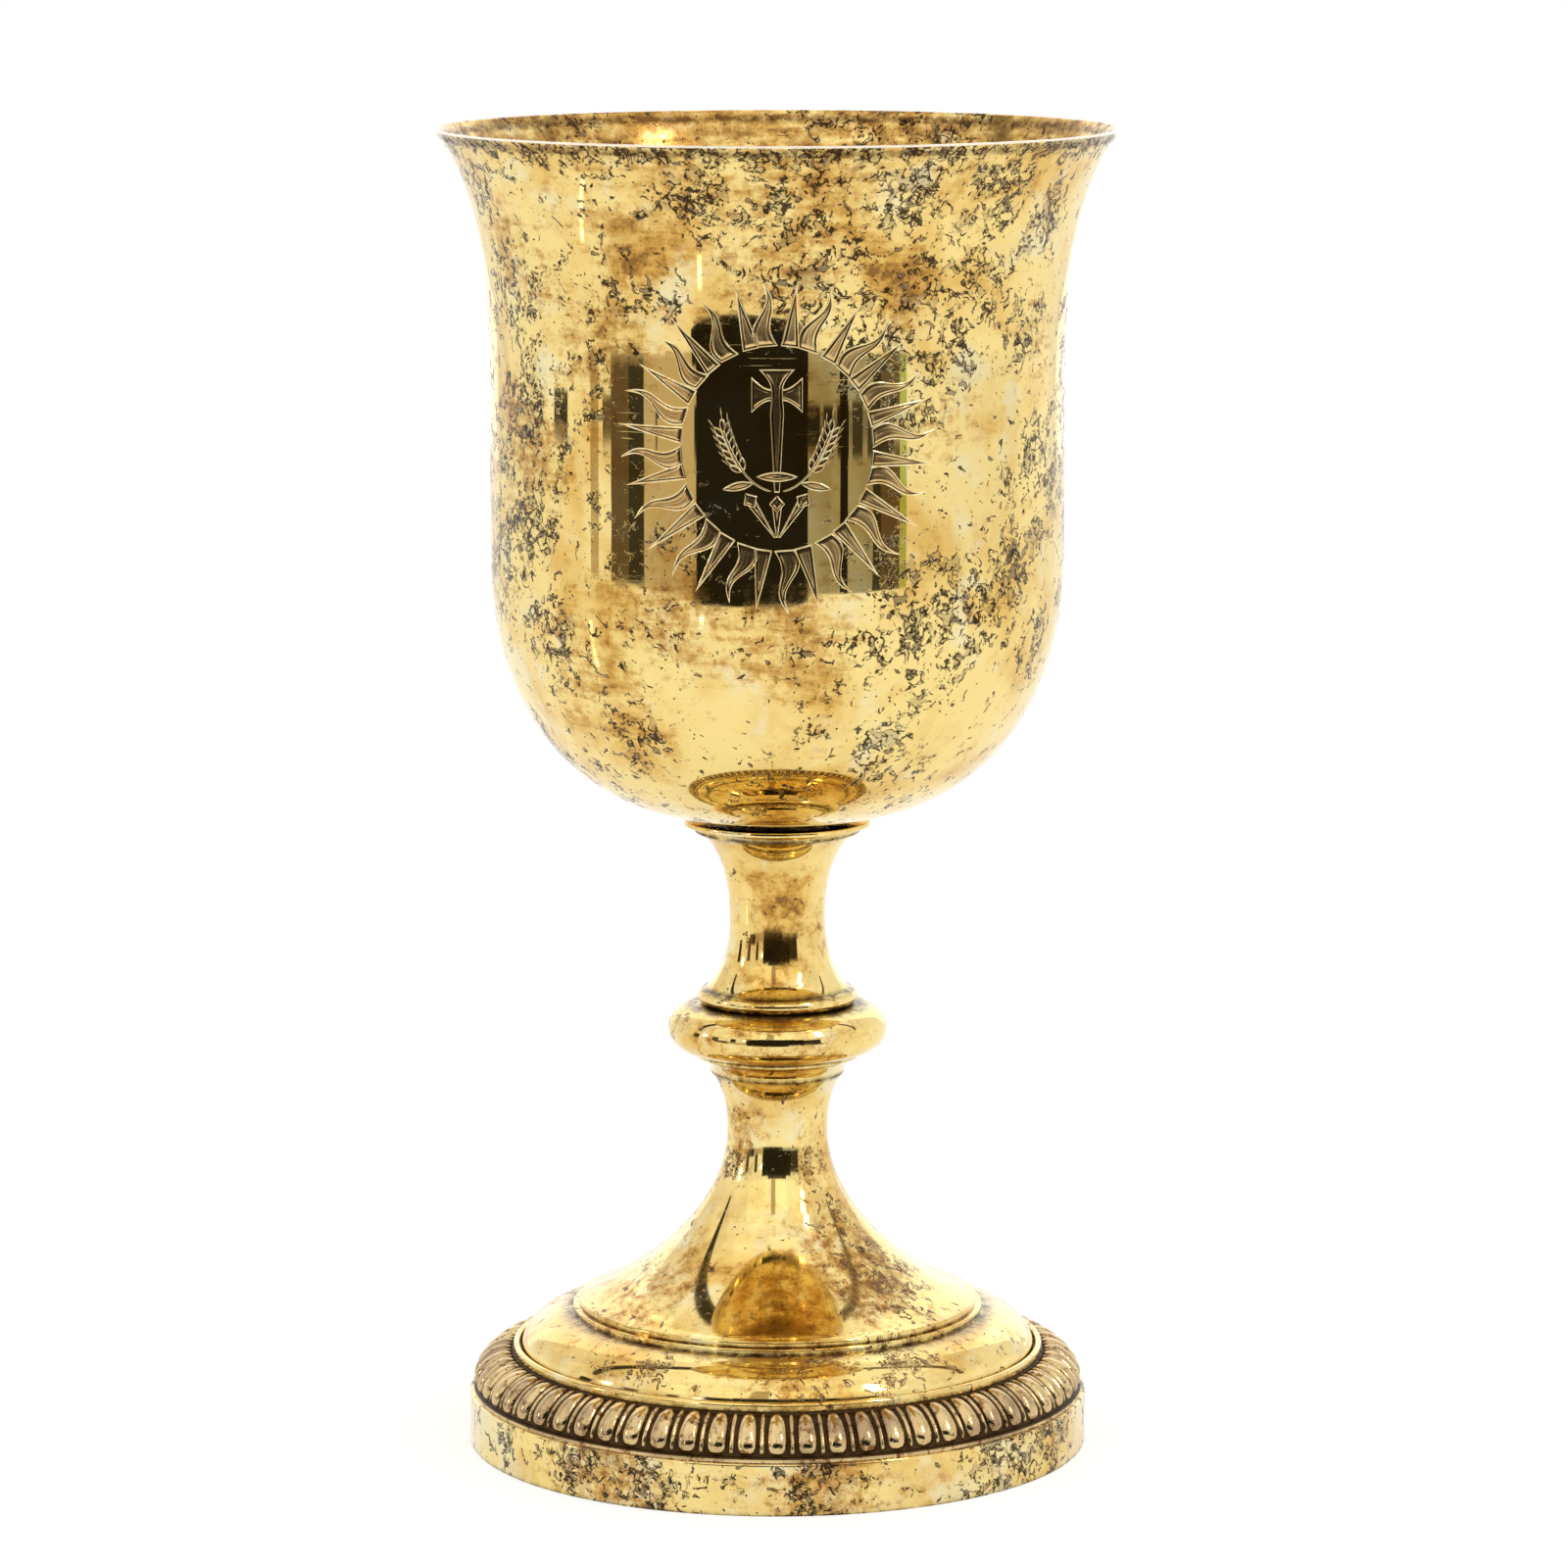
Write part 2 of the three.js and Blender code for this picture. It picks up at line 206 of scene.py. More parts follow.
class Shader:
    """A few words for building a node material."""

    def __init__(self, name):
        self.material = bpy.data.materials.new(name)
        self.material.use_nodes = True
        self.tree = self.material.node_tree
        self.tree.nodes.clear()
        self.place = self.make("ShaderNodeTexCoord").outputs["Object"]

    def make(self, kind, inputs=None, **settings):
        node = self.tree.nodes.new(kind)
        for key, value in settings.items():
            setattr(node, key, value)
        for key, value in (inputs or {}).items():
            if isinstance(value, bpy.types.NodeSocket):
                self.tree.links.new(value, node.inputs[key])
            else:
                node.inputs[key].default_value = value
        return node

    def noise(self, size_mm, detail=3.0, roughness=0.5, distortion=0.0, place=None):
        """Cloudy noise whose blobs are about size_mm across."""
        inputs = {"Vector": place or self.place, "Scale": 1 / (size_mm * MM), "Detail": detail,
                  "Roughness": roughness, "Distortion": distortion}
        return self.make("ShaderNodeTexNoise", inputs).outputs["Fac"]

    def stretched(self, x, y, z):
        """The place, scaled along each axis."""
        return self.vector("MULTIPLY", {0: self.place, 1: (x, y, z)})

    def step(self, value, low, high):
        """0 below low, 1 above high, smooth between."""
        inputs = {"Value": value, "From Min": low, "From Max": high}
        return self.make("ShaderNodeMapRange", inputs, interpolation_type="SMOOTHSTEP").outputs["Result"]

    def height(self):
        """Height on the object, in metres."""
        return self.make("ShaderNodeSeparateXYZ", {0: self.place}).outputs["Z"]

    def math(self, operation, a, b=0.0, clamp=False):
        return self.make("ShaderNodeMath", {0: a, 1: b}, operation=operation, use_clamp=clamp).outputs[0]

    def times(self, a, b):
        return self.math("MULTIPLY", a, b)

    def plus(self, a, b, clamp=False):
        return self.math("ADD", a, b, clamp)

    def less(self, a, b, clamp=False):
        return self.math("SUBTRACT", a, b, clamp)

    def larger(self, a, b):
        return self.math("MAXIMUM", a, b)

    def vector(self, operation, inputs, output=0):
        return self.make("ShaderNodeVectorMath", inputs, operation=operation).outputs[output]

    def bump(self, height, distance, under=None):
        """A normal bent by a height, over another normal if there is one."""
        inputs = {"Height": height, "Distance": distance, "Strength": 1.0}
        if under:
            inputs["Normal"] = under
        return self.make("ShaderNodeBump", inputs).outputs[0]

    def mark(self, name):
        """A number stored at each point of the mesh."""
        return self.make("ShaderNodeAttribute", attribute_name=name).outputs["Fac"]

    def mix(self, factor, a, b):
        """Colour a where factor is 0, and b where it is 1."""
        inputs = {0: factor, 6: a, 7: b}
        return self.make("ShaderNodeMix", inputs, data_type="RGBA").outputs[2]

    def near(self, centre_mm, reach_mm):
        """1 at a place on the object, fading to 0 at reach_mm from it."""
        centre = tuple(c * MM for c in centre_mm)
        away = self.vector("DISTANCE", {0: self.place, 1: centre}, "Value")
        return self.step(away, reach_mm * MM, 0.0)

    def around(self, places):
        """The strongest of several (place, reach_mm, strength) marks."""
        total = 0.0
        for centre, reach, strength in places:
            total = self.larger(total, self.times(self.near(centre, reach), strength))
        return total

    def wobbled(self, size_mm, amount_mm):
        """The place, pushed about by a noise."""
        inputs = {"Vector": self.place, "Scale": 1 / (size_mm * MM), "Detail": 2.0}
        push = self.make("ShaderNodeTexNoise", inputs).outputs["Color"]
        push = self.vector("SUBTRACT", {0: push, 1: (0.5, 0.5, 0.5)})
        push = self.vector("SCALE", {0: push, 3: amount_mm * MM * 2})
        return self.vector("ADD", {0: self.place, 1: push})

    def net(self, cell_mm, width, place):
        """1 on the walls of irregular cells about cell_mm across, 0 inside them."""
        inputs = {"Vector": place, "Scale": 1 / (cell_mm * MM)}
        away = self.make("ShaderNodeTexVoronoi", inputs, feature="DISTANCE_TO_EDGE").outputs["Distance"]
        return self.step(away, width, width * 0.4)

    def dots(self, cell_mm, size):
        """Small round specks, one in each cell."""
        inputs = {"Vector": self.place, "Scale": 1 / (cell_mm * MM)}
        away = self.make("ShaderNodeTexVoronoi", inputs).outputs["Distance"]
        return self.step(away, size, size * 0.5)

    def finish(self, color, roughness, normal=None, brushed=0.0):
        """brushed stretches reflections up and down, across the marks of turning and polishing."""
        inputs = {"Base Color": color, "Roughness": roughness, "Metallic": 1.0,
                  "Anisotropic": brushed, "Anisotropic Rotation": 0.25}
        if normal:
            inputs["Normal"] = normal
        return self.shown(self.make("ShaderNodeBsdfPrincipled", inputs).outputs[0])

    def glow(self, color):
        return self.make("ShaderNodeEmission", {"Color": color, "Strength": 1.0}).outputs[0]

    def shown(self, surface):
        """The material, with its surface in place."""
        self.make("ShaderNodeOutputMaterial", {"Surface": surface})
        return self.material


def srgb(r, g, b):
    """A colour on the 0 to 255 scale, as the linear colour that a shader takes."""
    return tuple((c / 255) ** 2.2 for c in (r, g, b)) + (1.0,)


PALE_GOLD = srgb(232, 220, 176)
CLEAN_GOLD = srgb(238, 212, 138)
WARM_GOLD = srgb(220, 180, 100)
AMBER = srgb(180, 130, 60)
UMBER = srgb(112, 78, 48)
BROWN = srgb(60, 38, 22)
FLAKE_GREY = srgb(118, 102, 84)
FLAKE_EDGE = srgb(44, 32, 26)
FLAKE_RUST = srgb(92, 56, 30)
# Near white, for a painted highlight along the outside of the lip.
LIP_HIGHLIGHT = srgb(248, 234, 214)

# Heights over the start of the worn band under a lip, in mm.
WORN_FADE = 5.0        # where the flaking is at its full strength
LIP_HIGHLIGHT_FROM = 6.0      # where the painted highlight along the lip starts
LIP_HIGHLIGHT_TO = 6.25       # above here the lip carries the painted highlight


def stained_gold(s, fine, inside, stains, haze, streaky, bleach):
    """Gold that is pale where it is thin, with brown haze. Returns its colour, and where it is amber."""
    clouds = s.noise(19, detail=7, roughness=0.62, distortion=0.4)
    streaks = s.noise(2.0, detail=6, roughness=0.68, place=s.stretched(0.14, 0.14, 1.0))
    grain = s.plus(s.times(fine, 1 - streaky), s.times(streaks, streaky))
    color = s.mix(s.step(clouds, 0.42, 0.64), CLEAN_GOLD, WARM_GOLD)
    pale = s.step(s.noise(12, detail=6, roughness=0.65), 0.60 - 0.14 * bleach, 0.74 - 0.10 * bleach)
    color = s.mix(s.times(pale, 0.75), color, PALE_GOLD)
    gloom = s.larger(s.around(stains), s.times(inside, 0.9))
    gloom = s.plus(gloom, s.times(s.step(clouds, 0.50, 0.70), haze))
    level = s.plus(grain, s.times(gloom, 0.20))
    amber = s.times(s.step(level, 0.55, 0.71), 0.85)
    color = s.mix(amber, color, AMBER)
    umber = s.step(level, 0.68, 0.77)
    return s.mix(s.times(umber, 0.75), color, UMBER), amber


def tarnish_share(s, inside, flakes, bare, all_over, worn_from, kept):
    """How much flaked tarnish each place has, about 0 to 1."""
    groups = s.step(s.noise(30, detail=2), 0.46, 0.64)
    share = s.larger(s.times(s.plus(groups, 0.17), all_over), s.around(flakes))
    if worn_from:
        worn = s.times(s.step(s.height(), worn_from * MM, (worn_from + WORN_FADE) * MM), 0.85)
        share = s.larger(share, s.less(worn, inside))
    return s.less(share, s.plus(bare, kept))


def tarnish_lines(s, share, loop_mm):
    """Crowded loops and broken nets of dark lines, and the lighter scale that fills some of them."""
    patch = s.noise(4.5, detail=5, roughness=0.6, distortion=0.4)
    crowd = s.step(s.plus(patch, s.times(share, 0.24)), 0.63, 0.68)
    swirl = s.noise(loop_mm, detail=2, roughness=0.5, distortion=0.9)
    loops = s.step(s.math("ABSOLUTE", s.less(swirl, 0.53)), 0.036, 0.020)
    broken = s.step(s.noise(1.6, detail=2), 0.48, 0.56)
    net = s.times(s.net(0.7 * loop_mm, 0.12, s.wobbled(1.1, 0.7)), broken)
    return s.times(s.larger(loops, net), crowd), s.times(s.step(swirl, 0.55, 0.58), crowd)


def tarnish_flakes(s, share):
    """Single flakes, and the dark rims round them."""
    blobs = s.noise(2.1, detail=3, roughness=0.55, distortion=1.0)
    level = s.plus(blobs, s.times(share, 0.13))
    flake = s.step(level, 0.668, 0.682)
    return flake, s.less(flake, s.step(level, 0.705, 0.735))


def fine_specks(s, bare, specks):
    """Pin-point spots, in groups."""
    groups = s.step(s.noise(11, detail=2), 0.60 - 0.25 * specks, 0.66)
    return s.less(s.times(s.times(s.dots(1.9, 0.17), groups), 0.8), bare, clamp=True)


def gilt(name, stains=(), flakes=(), bare=(), haze=0.3, all_over=0.5, specks=0.5, gloss=0.05,
         loop_mm=2.0, streaky=0.4, worn_from=None, edge=FLAKE_EDGE, bleach=0.6, kept=0.0):
    """Old gilding over silver. stains, flakes and bare are (place, reach_mm, strength) marks: brown
    haze gathers round the first, flaked tarnish round the second, and none near the third. haze and
    all_over say how much lies everywhere else, and above the height worn_from there is flaking all
    round. bleach is how much paler the gold is in its thin places, and kept is how much of the flaking
    was rubbed away."""
    s = Shader(name)
    fine = s.noise(2.6, detail=8, roughness=0.74, distortion=0.2)
    inside = s.mark("inside")
    bare = s.around(bare)
    color, amber = stained_gold(s, fine, inside, stains, haze, streaky, bleach)
    share = tarnish_share(s, inside, flakes, bare, all_over, worn_from, kept)
    lines, filled = tarnish_lines(s, share, loop_mm)
    flake, rim = tarnish_flakes(s, share)
    dark = s.larger(s.larger(lines, rim), fine_specks(s, bare, specks))
    grime_and_shade = s.times(s.mark("grime_and_shade"), s.step(fine, 0.25, 0.6))
    color = s.mix(s.times(filled, 0.35), color, FLAKE_GREY)
    color = s.mix(s.times(flake, 0.7), color, FLAKE_GREY)
    color = s.mix(s.times(dark, 0.93), color, edge)
    # Brown at the seams: dirt in the joints, and painted shade along the bottom edge of the rim band.
    color = s.mix(grime_and_shade, color, BROWN)
    if worn_from:
        # Painted highlight: the outside of the lip is painted near white above a set height, standing in for
        # its reflection.
        lip_highlight = s.step(s.height(), (worn_from + LIP_HIGHLIGHT_FROM) * MM, (worn_from + LIP_HIGHLIGHT_TO) * MM)
        color = s.mix(s.less(lip_highlight, inside, clamp=True), color, LIP_HIGHLIGHT)

    scratch = s.noise(0.8, detail=3, place=s.stretched(0.05, 0.05, 2.5))
    scored = s.step(scratch, 0.68, 0.78)
    tarnished = s.larger(flake, dark)
    rough = s.plus(gloss, s.times(amber, 0.10))
    for mark, weight in ((scored, 0.12), (inside, 0.08), (tarnished, 0.3)):
        rough = s.plus(rough, s.times(mark, weight))
    rough = s.plus(rough, s.times(grime_and_shade, 0.3), clamp=True)
    wavy = s.bump(s.noise(16, detail=1), 0.00004)
    normal = s.bump(s.less(s.times(scored, 0.3), tarnished), 0.000012, under=wavy)
    return s.finish(color, rough, normal, brushed=0.5)


def engraved_gold(name):
    """Engraver's work: polished burrs, grooves painted dark for their dirt and shade, and satin ground
    hatched by the tool.
    """
    s = Shader(name)
    fine = s.noise(1.4, detail=3)
    satin = s.mark("satin")
    color = s.mix(s.step(fine, 0.35, 0.7), srgb(250, 230, 176), srgb(230, 192, 126))
    color = s.mix(s.times(satin, 0.7), color, srgb(226, 186, 120))
    # Painted shade: the grooves are painted dark brown, for the dirt in them and the shade inside the cut.
    color = s.mix(s.times(s.mark("grime_and_shade"), 0.95), color, srgb(50, 34, 20))
    rough = s.plus(0.07, s.times(satin, 0.05))
    rough = s.plus(rough, s.times(fine, 0.06))
    return s.finish(color, rough)


def cast_gilt(name):
    """Cast border: worn, silvery crests over dark grooves, with dirt in them and painted shade up the lobes'
    flanks.
    """
    s = Shader(name)
    fine = s.noise(1.6, detail=4, roughness=0.6)
    patch = s.noise(9, detail=3, distortion=0.5)
    crest = s.mix(s.step(patch, 0.38, 0.70), srgb(212, 184, 132), srgb(164, 138, 104))
    color = s.mix(s.step(fine, 0.52, 0.68), crest, srgb(118, 82, 46))
    # Painted shade: the dark brown climbs the lobes' flanks, where the lobes shade and reflect each other,
    # over the dirt in the grooves.
    dirt = s.step(s.plus(s.mark("grime_and_shade"), s.times(fine, 0.3)), 0.35, 0.85)
    color = s.mix(s.times(dirt, 0.95), color, srgb(58, 38, 20))
    rough = s.plus(s.times(fine, 0.12), s.times(dirt, 0.4))
    rough = s.plus(rough, 0.03, clamp=True)
    return s.finish(color, rough, s.bump(fine, 0.00012))


def bare_metal(name, light, dark, gloss=0.3, size_mm=6):
    """Dull metal out of sight: cloudy, scratched, with dirt in the seams."""
    s = Shader(name)
    clouds = s.noise(size_mm, detail=5, roughness=0.65, distortion=0.6)
    color = s.mix(s.step(clouds, 0.35, 0.7), light, dark)
    color = s.mix(s.mark("grime_and_shade"), color, srgb(50, 40, 32))
    scratch = s.noise(0.8, detail=3, place=s.stretched(0.2, 2.0, 2.0))
    rough = s.plus(gloss, s.times(clouds, 0.3))
    rough = s.plus(rough, s.times(scratch, 0.12), clamp=True)
    return s.finish(color, rough, s.bump(scratch, 0.00003))


# ---- Bowl ----

BOWL_FOOT_Z = foot("bowl")
BOWL_LIP_Z = top("bowl")
LIP_R = radius("bowl")
SEAT_R = 10
STRAIGHT_FROM = 163
STRAIGHT_TO = 193.8


def bowl_side(seat_z, wall_r, lip_r, shoulder_r):
    """One side of the bowl from the seat to the lip."""
    corner, corner_after = (shoulder_r, seat_z), (wall_r, 135)
    shoulder = bend((SEAT_R, seat_z), corner, corner_after, (wall_r, STRAIGHT_FROM), 44)
    wall = straight((wall_r, STRAIGHT_FROM), (wall_r, STRAIGHT_TO), 12)[1:-1]
    flare_start, flare_end = (wall_r, 221.6), (lip_r - 5.1, 233.4)
    flare = bend((wall_r, STRAIGHT_TO), flare_start, flare_end, (lip_r, BOWL_LIP_Z), 36)
    return straight((0, seat_z), (SEAT_R, seat_z), 4)[:-1] + shoulder + wall + flare[:-1]


BOWL_OUTSIDE = bowl_side(BOWL_FOOT_Z, WALL_R, LIP_R, 36)


def bowl():
    inside = bowl_side(BOWL_FOOT_Z + 1.1, WALL_R - WALL, LIP_R - WALL, 35.5)
    edges = [(LIP_R, BOWL_LIP_Z, 0.45), (LIP_R - WALL, BOWL_LIP_Z, 0.45)]
    lip = softened([BOWL_OUTSIDE[-1]] + edges + [inside[-1]])
    section = BOWL_OUTSIDE + lip[1:-1] + inside[::-1]
    sides = 320
    made = turned("bowl_raised", section, sides=sides, seams=(BOWL_LIP_Z - 1.5,))
    within = np.arange(len(made.data.vertices)) // sides > len(BOWL_OUTSIDE) + 2
    add_mark(made.data, "inside", within)
    return made


def bowl_radius(z):
    """Outer radius of the bowl at a height, in mm."""
    heights = [p[1] for p in BOWL_OUTSIDE]
    return np.interp(z, heights, [p[0] for p in BOWL_OUTSIDE])


def bowl_boss():
    z = BOWL_FOOT_Z
    section = softened([(0, 112.6), (3.3, 112.6), (3.3, 106, 0.2), (6, 106, 0.3), (6, 113.6),
                        (9, 113.6, 0.2), (9, z, 0.2), (0, z)])
    return turned("bowl_boss_turned", section, sides=96)


# ---- Stem ----

def walled(outer, wall):
    """A section made of an outer line and the same line moved in by a wall's thickness."""
    return outer + [(r - wall, z) for r, z in reversed(outer)]


def stem_top_flange():
    low, high, edge_r = extent("stem_top_flange")
    section = softened([
        (6.3, low), (8.4, low, 0.2), (8.4, 112.8), (15, 112.8, 0.1), (15, 113.3, 0.1),
        (15.3, 113.8, 0.3), (16.6, 114, 0.2), (edge_r, 114.15, 0.15), (edge_r, high, 0.35),
        (9.3, high, 0.2), (9.3, 113.6), (6.3, 113.6),
    ])
    return turned("drip_flange", section, sides=192, seams=(113.0,))


def upper_stem():
    low, high = foot("upper_stem"), top("upper_stem")
    waist = 97.1
    lower = bend((13.2, low), (10.2, 86.3), (NECK_R, 91), (NECK_R, waist), 26)
    upper = bend((NECK_R, waist), (NECK_R, 104.2), (10.6, 110.3), (14.4, high), 26)
    section = walled(lower + upper[1:], STEM_WALL)
    return turned("upper_stem_raised", section, sides=192, seams=(low, high))


def upper_stem_ring():
    low, high, edge_r = extent("upper_stem_ring")
    size = (high - low) / 2
    bead = arc(edge_r - size, low + size, size, -90, 90, 16)
    section = [(ROD_BORE_R, low)] + bead + [(ROD_BORE_R, high)]
    return turned("stem_ring", section, sides=192, seams=(low, high))


def knop_half(name, node, end_z):
    """Half of the knop, from the seam round its middle to the flat at end_z."""
    knop_r = radius(node)
    mid_z = (foot("knop_lower_half") + top("knop_upper_half")) / 2

    def side(inset):
        rise = end_z - mid_z - math.copysign(inset, end_z - mid_z)
        return bend((knop_r - inset, mid_z), (knop_r - inset, mid_z + 0.6 * rise),
                    (17.8 - inset, mid_z + rise), (14 - inset, mid_z + rise), 18)

    outer, inner = side(0), side(WALL)
    section = outer + [(5.3, end_z), (5.3, inner[-1][1])] + inner[::-1]
    if end_z < mid_z:
        section.reverse()
    return turned(name, section, sides=224, seams=(end_z,))


def knop_upper_half():
    return knop_half("knop_upper", "knop_upper_half", top("knop_upper_half"))


def knop_lower_half():
    return knop_half("knop_lower", "knop_lower_half", foot("knop_lower_half"))


def lower_stem_collar():
    low, high, edge_r = extent("lower_stem_collar")
    cove = bend((COLLAR_FOOT_R, low + 0.6), (12.8, 70.4), (13.8, 71.2), (edge_r - 0.15, 71.4), 12)
    edge = softened([(edge_r - 0.1, 71.4), (edge_r, 71.5, 0.1), (edge_r, high, 0.25), (ROD_BORE_R, high)])
    section = [(ROD_BORE_R, low), (COLLAR_FOOT_R, low)] + cove + edge[1:]
    return turned("stem_collar", section, sides=192, seams=(low, high))


# ---- Foot ----

def foot_trumpet():
    low, high, edge_r = extent("foot_trumpet")
    waist = 57.7
    edge = softened([(34.8, low), (edge_r, low, 0.1), (edge_r, 26.45, 0.5), (35.5, 26.6, 0.2),
                     (34.9, 26.86)])
    outer = edge[1:-1] + bend((35.2, 26.7), (22.4, 32.6), (WAIST_R, 43.7), (WAIST_R, waist), 44)
    outer += bend((WAIST_R, waist), (WAIST_R, 62.7), (10.3, 66.2), (COLLAR_FOOT_R, high), 16)[1:]
    inner_r = WAIST_R - WALL
    inner = bend((34.8, low), (21.8, 31.6), (inner_r, 43.3), (inner_r, waist), 44)
    inner += bend((inner_r, waist), (inner_r, 62.7), (9.3, 66.2), (11.2, high), 16)[1:]
    return turned("trumpet_raised", outer + inner[::-1], sides=288, seams=(low, high))


def foot_tier():
    low, high, edge_r = extent("foot_tier")
    outer = [(edge_r, low)] + bend((edge_r, 17.9), (46.3, 21.3), (42.5, 23.6), (37.9, 24.2), 28)
    step = softened([(37.9, 24.2), (37.5, 24.25, 0.15), (37.5, high, 0.4), (33, high), (33, 24.2),
                     (36.4, 24.2)])
    inner = bend((37, 23.2), (41.9, 22.5), (45.3, 20.5), (45.9, 17.9), 20) + [(45.9, low)]
    return turned("tier_raised", outer + step[1:] + inner, sides=288, seams=(low + 0.8, 24.3))


def foot_tier_wire():
    low, edge_r = foot("foot_tier_wire"), radius("foot_tier_wire")
    size = 0.62
    middle = edge_r - size
    section = [(middle - size, low), (edge_r, low)] + arc(middle, low + 0.8, size, 0, 180, 14)
    return turned("tier_wire", section, sides=288, seams=(low + 0.3,))


LOBES = 64
SIDES_PER_LOBE = 24


def dome(x, width):
    """1 at the middle, falling round to 0 at width."""
    return np.sqrt(np.clip(1 - (x / width) ** 2, 0, 1))


def gadroon_rise(along, across):
    """Height of the border over its grooves, in mm. along is 0 at the outer end of a gadroon and 1 at
    the inner end. across runs from -0.5 to 0.5 over one lobe, with the reed at both ends."""
    ends = np.clip(1 - np.abs(2 * along - 1.0) ** 3.2, 0, 1) ** 0.5
    width = (0.375 - 0.12 * along) * (0.25 + 0.75 * ends)
    lobe = (1.25 - 0.35 * along) * ends * dome(across, width)
    reed_ends = np.clip(1 - np.abs(2 * along - 1.02) ** 6, 0, 1) ** 0.5
    reed = 0.62 * reed_ends * dome(0.5 - np.abs(across), 0.085)
    return np.maximum(lobe, reed)


def gadroon_border():
    low, high, edge_r = extent("gadroon_border")
    face = bend((55.1, 10.7), (54.7, 13.8), (51.7, 16.1), (48.9, 16.3), 30)
    centre = (face[-1][0], face[0][1])
    ledge_z = 10.0
    edge = softened([(edge_r, low), (edge_r, 9.95), (edge_r, 10.3, 0.3), (55.2, 10.5, 0.15), face[0]])[:-1]
    back = [(48.7, high - 0.1), (45.2, high - 0.1), (45.2, 15.9), (53.2, 10.6), (53.2, low)]
    section = edge + face + back
    first = len(edge)
    sides = LOBES * SIDES_PER_LOBE
    rise = np.zeros((len(section), sides))
    across = (np.arange(sides) / SIDES_PER_LOBE + 0.5) % 1 - 0.5
    for j in range(len(face)):
        rise[first + j] = gadroon_rise(j / (len(face) - 1), across)

    def reshape(r, z, turn):
        out_r, out_z = r - centre[0], z - centre[1]
        length = np.maximum(np.hypot(out_r, out_z), 1e-6)
        return r + rise * out_r / length, z + rise * out_z / length

    made = turned("gadroons", section, sides=sides, reshape=reshape, sharp=60)
    # Dirt in the grooves, with painted shade spread up the flanks of the lobes; the edge above the ledge is
    # darkened as well.
    grime_and_shade = np.clip(1 - rise / 0.6, 0, 1)
    heights = np.array([z for _, z in section[:first]])
    grime_and_shade[:first] = np.where(heights < ledge_z, 0.05, 0.9)[:, None]
    made.data.attributes["grime_and_shade"].data.foreach_set("value", grime_and_shade.astype(np.float32).ravel())
    return made


def foot_rim_band():
    low, high, edge_r = extent("foot_rim_band")
    section = softened([
        (55.3, low), (edge_r, low, 0.3), (edge_r, low + 0.5), (edge_r, low + 1.0), (edge_r, high, 0.45),
        (52, high, 0.2), (52, high - 1, 0.2), (55.3, high - 1, 0.5),
    ])
    # The seam just under the band is painted shade: a dark line along its bottom edge for the contact shadow
    # and the dark reflection of the table.
    return turned("rim_band", section, sides=320, seams=(low - 0.1,))


def foot_base_ring():
    low, high, edge_r = extent("foot_base_ring")
    section = softened([(51.6, low, 0.3), (edge_r, low, 0.2), (edge_r, high), (51.6, high, 0.4)])
    return turned("base_ring", section, sides=256)


# ---- Rod and fastening ----

PITCH = 1.0            # of the rod's thread, in mm
THREAD_DEPTH = 0.45


def tie_rod():
    """The rod, with a cut thread on the end that shows."""
    low, high, rod_r = extent("tie_rod")
    threaded_to = 42
    lead = [(0, low), (1.2, low), (rod_r - 0.55, low)]
    section = lead + straight((rod_r, low + 0.1), (rod_r, threaded_to), 120) + [(rod_r, high), (0, high)]

    def reshape(r, z, turn):
        phase = (z / PITCH - turn / TAU) % 1
        cut = THREAD_DEPTH * np.clip(1.25 * (1 - 2 * np.abs(phase - 0.5)), 0, 1)
        fade = np.clip((threaded_to - z) / PITCH, 0, 1)
        chamfer = np.clip((z - low) / 0.6, 0, 1) * 0.5 + (rod_r - 0.5)
        return np.where(r > rod_r - 0.01, np.minimum(r - cut * fade, chamfer), r), z

    return turned("threaded_rod", section, sides=72, reshape=reshape, sharp=60)


def foot_bridge_plate():
    """Plate across the trumpet, dished round the rod, with a bead of solder at its edge."""
    low, high = foot("foot_bridge_plate"), top("foot_bridge_plate")
    section = softened([
        (ROD_BORE_R, low, 0.2), (11.2, low), (12.2, low + 0.35, 0.6), (15.8, low + 0.35, 0.8),
        (17.9, low - 0.35, 0.5), (18.2, low + 0.1, 0.2), (16.7, high, 0.2), (ROD_BORE_R, high),
    ])
    return turned("bridge_plate", section, sides=160, seams=(low - 0.2,))


def tie_washer():
    low, high, edge_r = extent("tie_washer")
    section = softened([(ROD_BORE_R, low, 0.15), (edge_r, low, 0.3), (edge_r, high, 0.1),
                        (ROD_BORE_R, high, 0.1)])
    return turned("washer_turned", section, sides=128, seams=(low,))


def tie_nut():
    """Hexagon nut: turned first, then cut to six flats under its chamfers."""
    low, high = foot("tie_nut"), top("tie_nut")
    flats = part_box("tie_nut")[1].y / MM
    corner_r = flats / math.cos(math.radians(30))
    outside = straight((corner_r, low), (corner_r, high), 26)
    bore = [(3.5, high), (3.12, high - 0.4), (3.12, low + 0.4)]
    section = [(3.5, low), (flats * 0.94, low)] + outside + [(flats * 0.94, high)] + bore

    def reshape(r, z, turn):
        flat_r = flats / np.cos((turn % (TAU / 6)) - TAU / 12)
        from_end = np.minimum(z - low, high - z)
        chamfer = flats * 0.97 + from_end * math.tan(math.radians(62))
        return np.where(r > corner_r - 0.01, np.minimum(flat_r, chamfer), r), z

    return turned("nut_hexagon", section, sides=192, reshape=reshape, sharp=25)


# ---- Engraving ----

GLORY_Z = 187.8        # centre of the glory of rays
RAYS = 32
RAY_INNER = (16.7, 17.6)
RAY_OUTER = 28.8

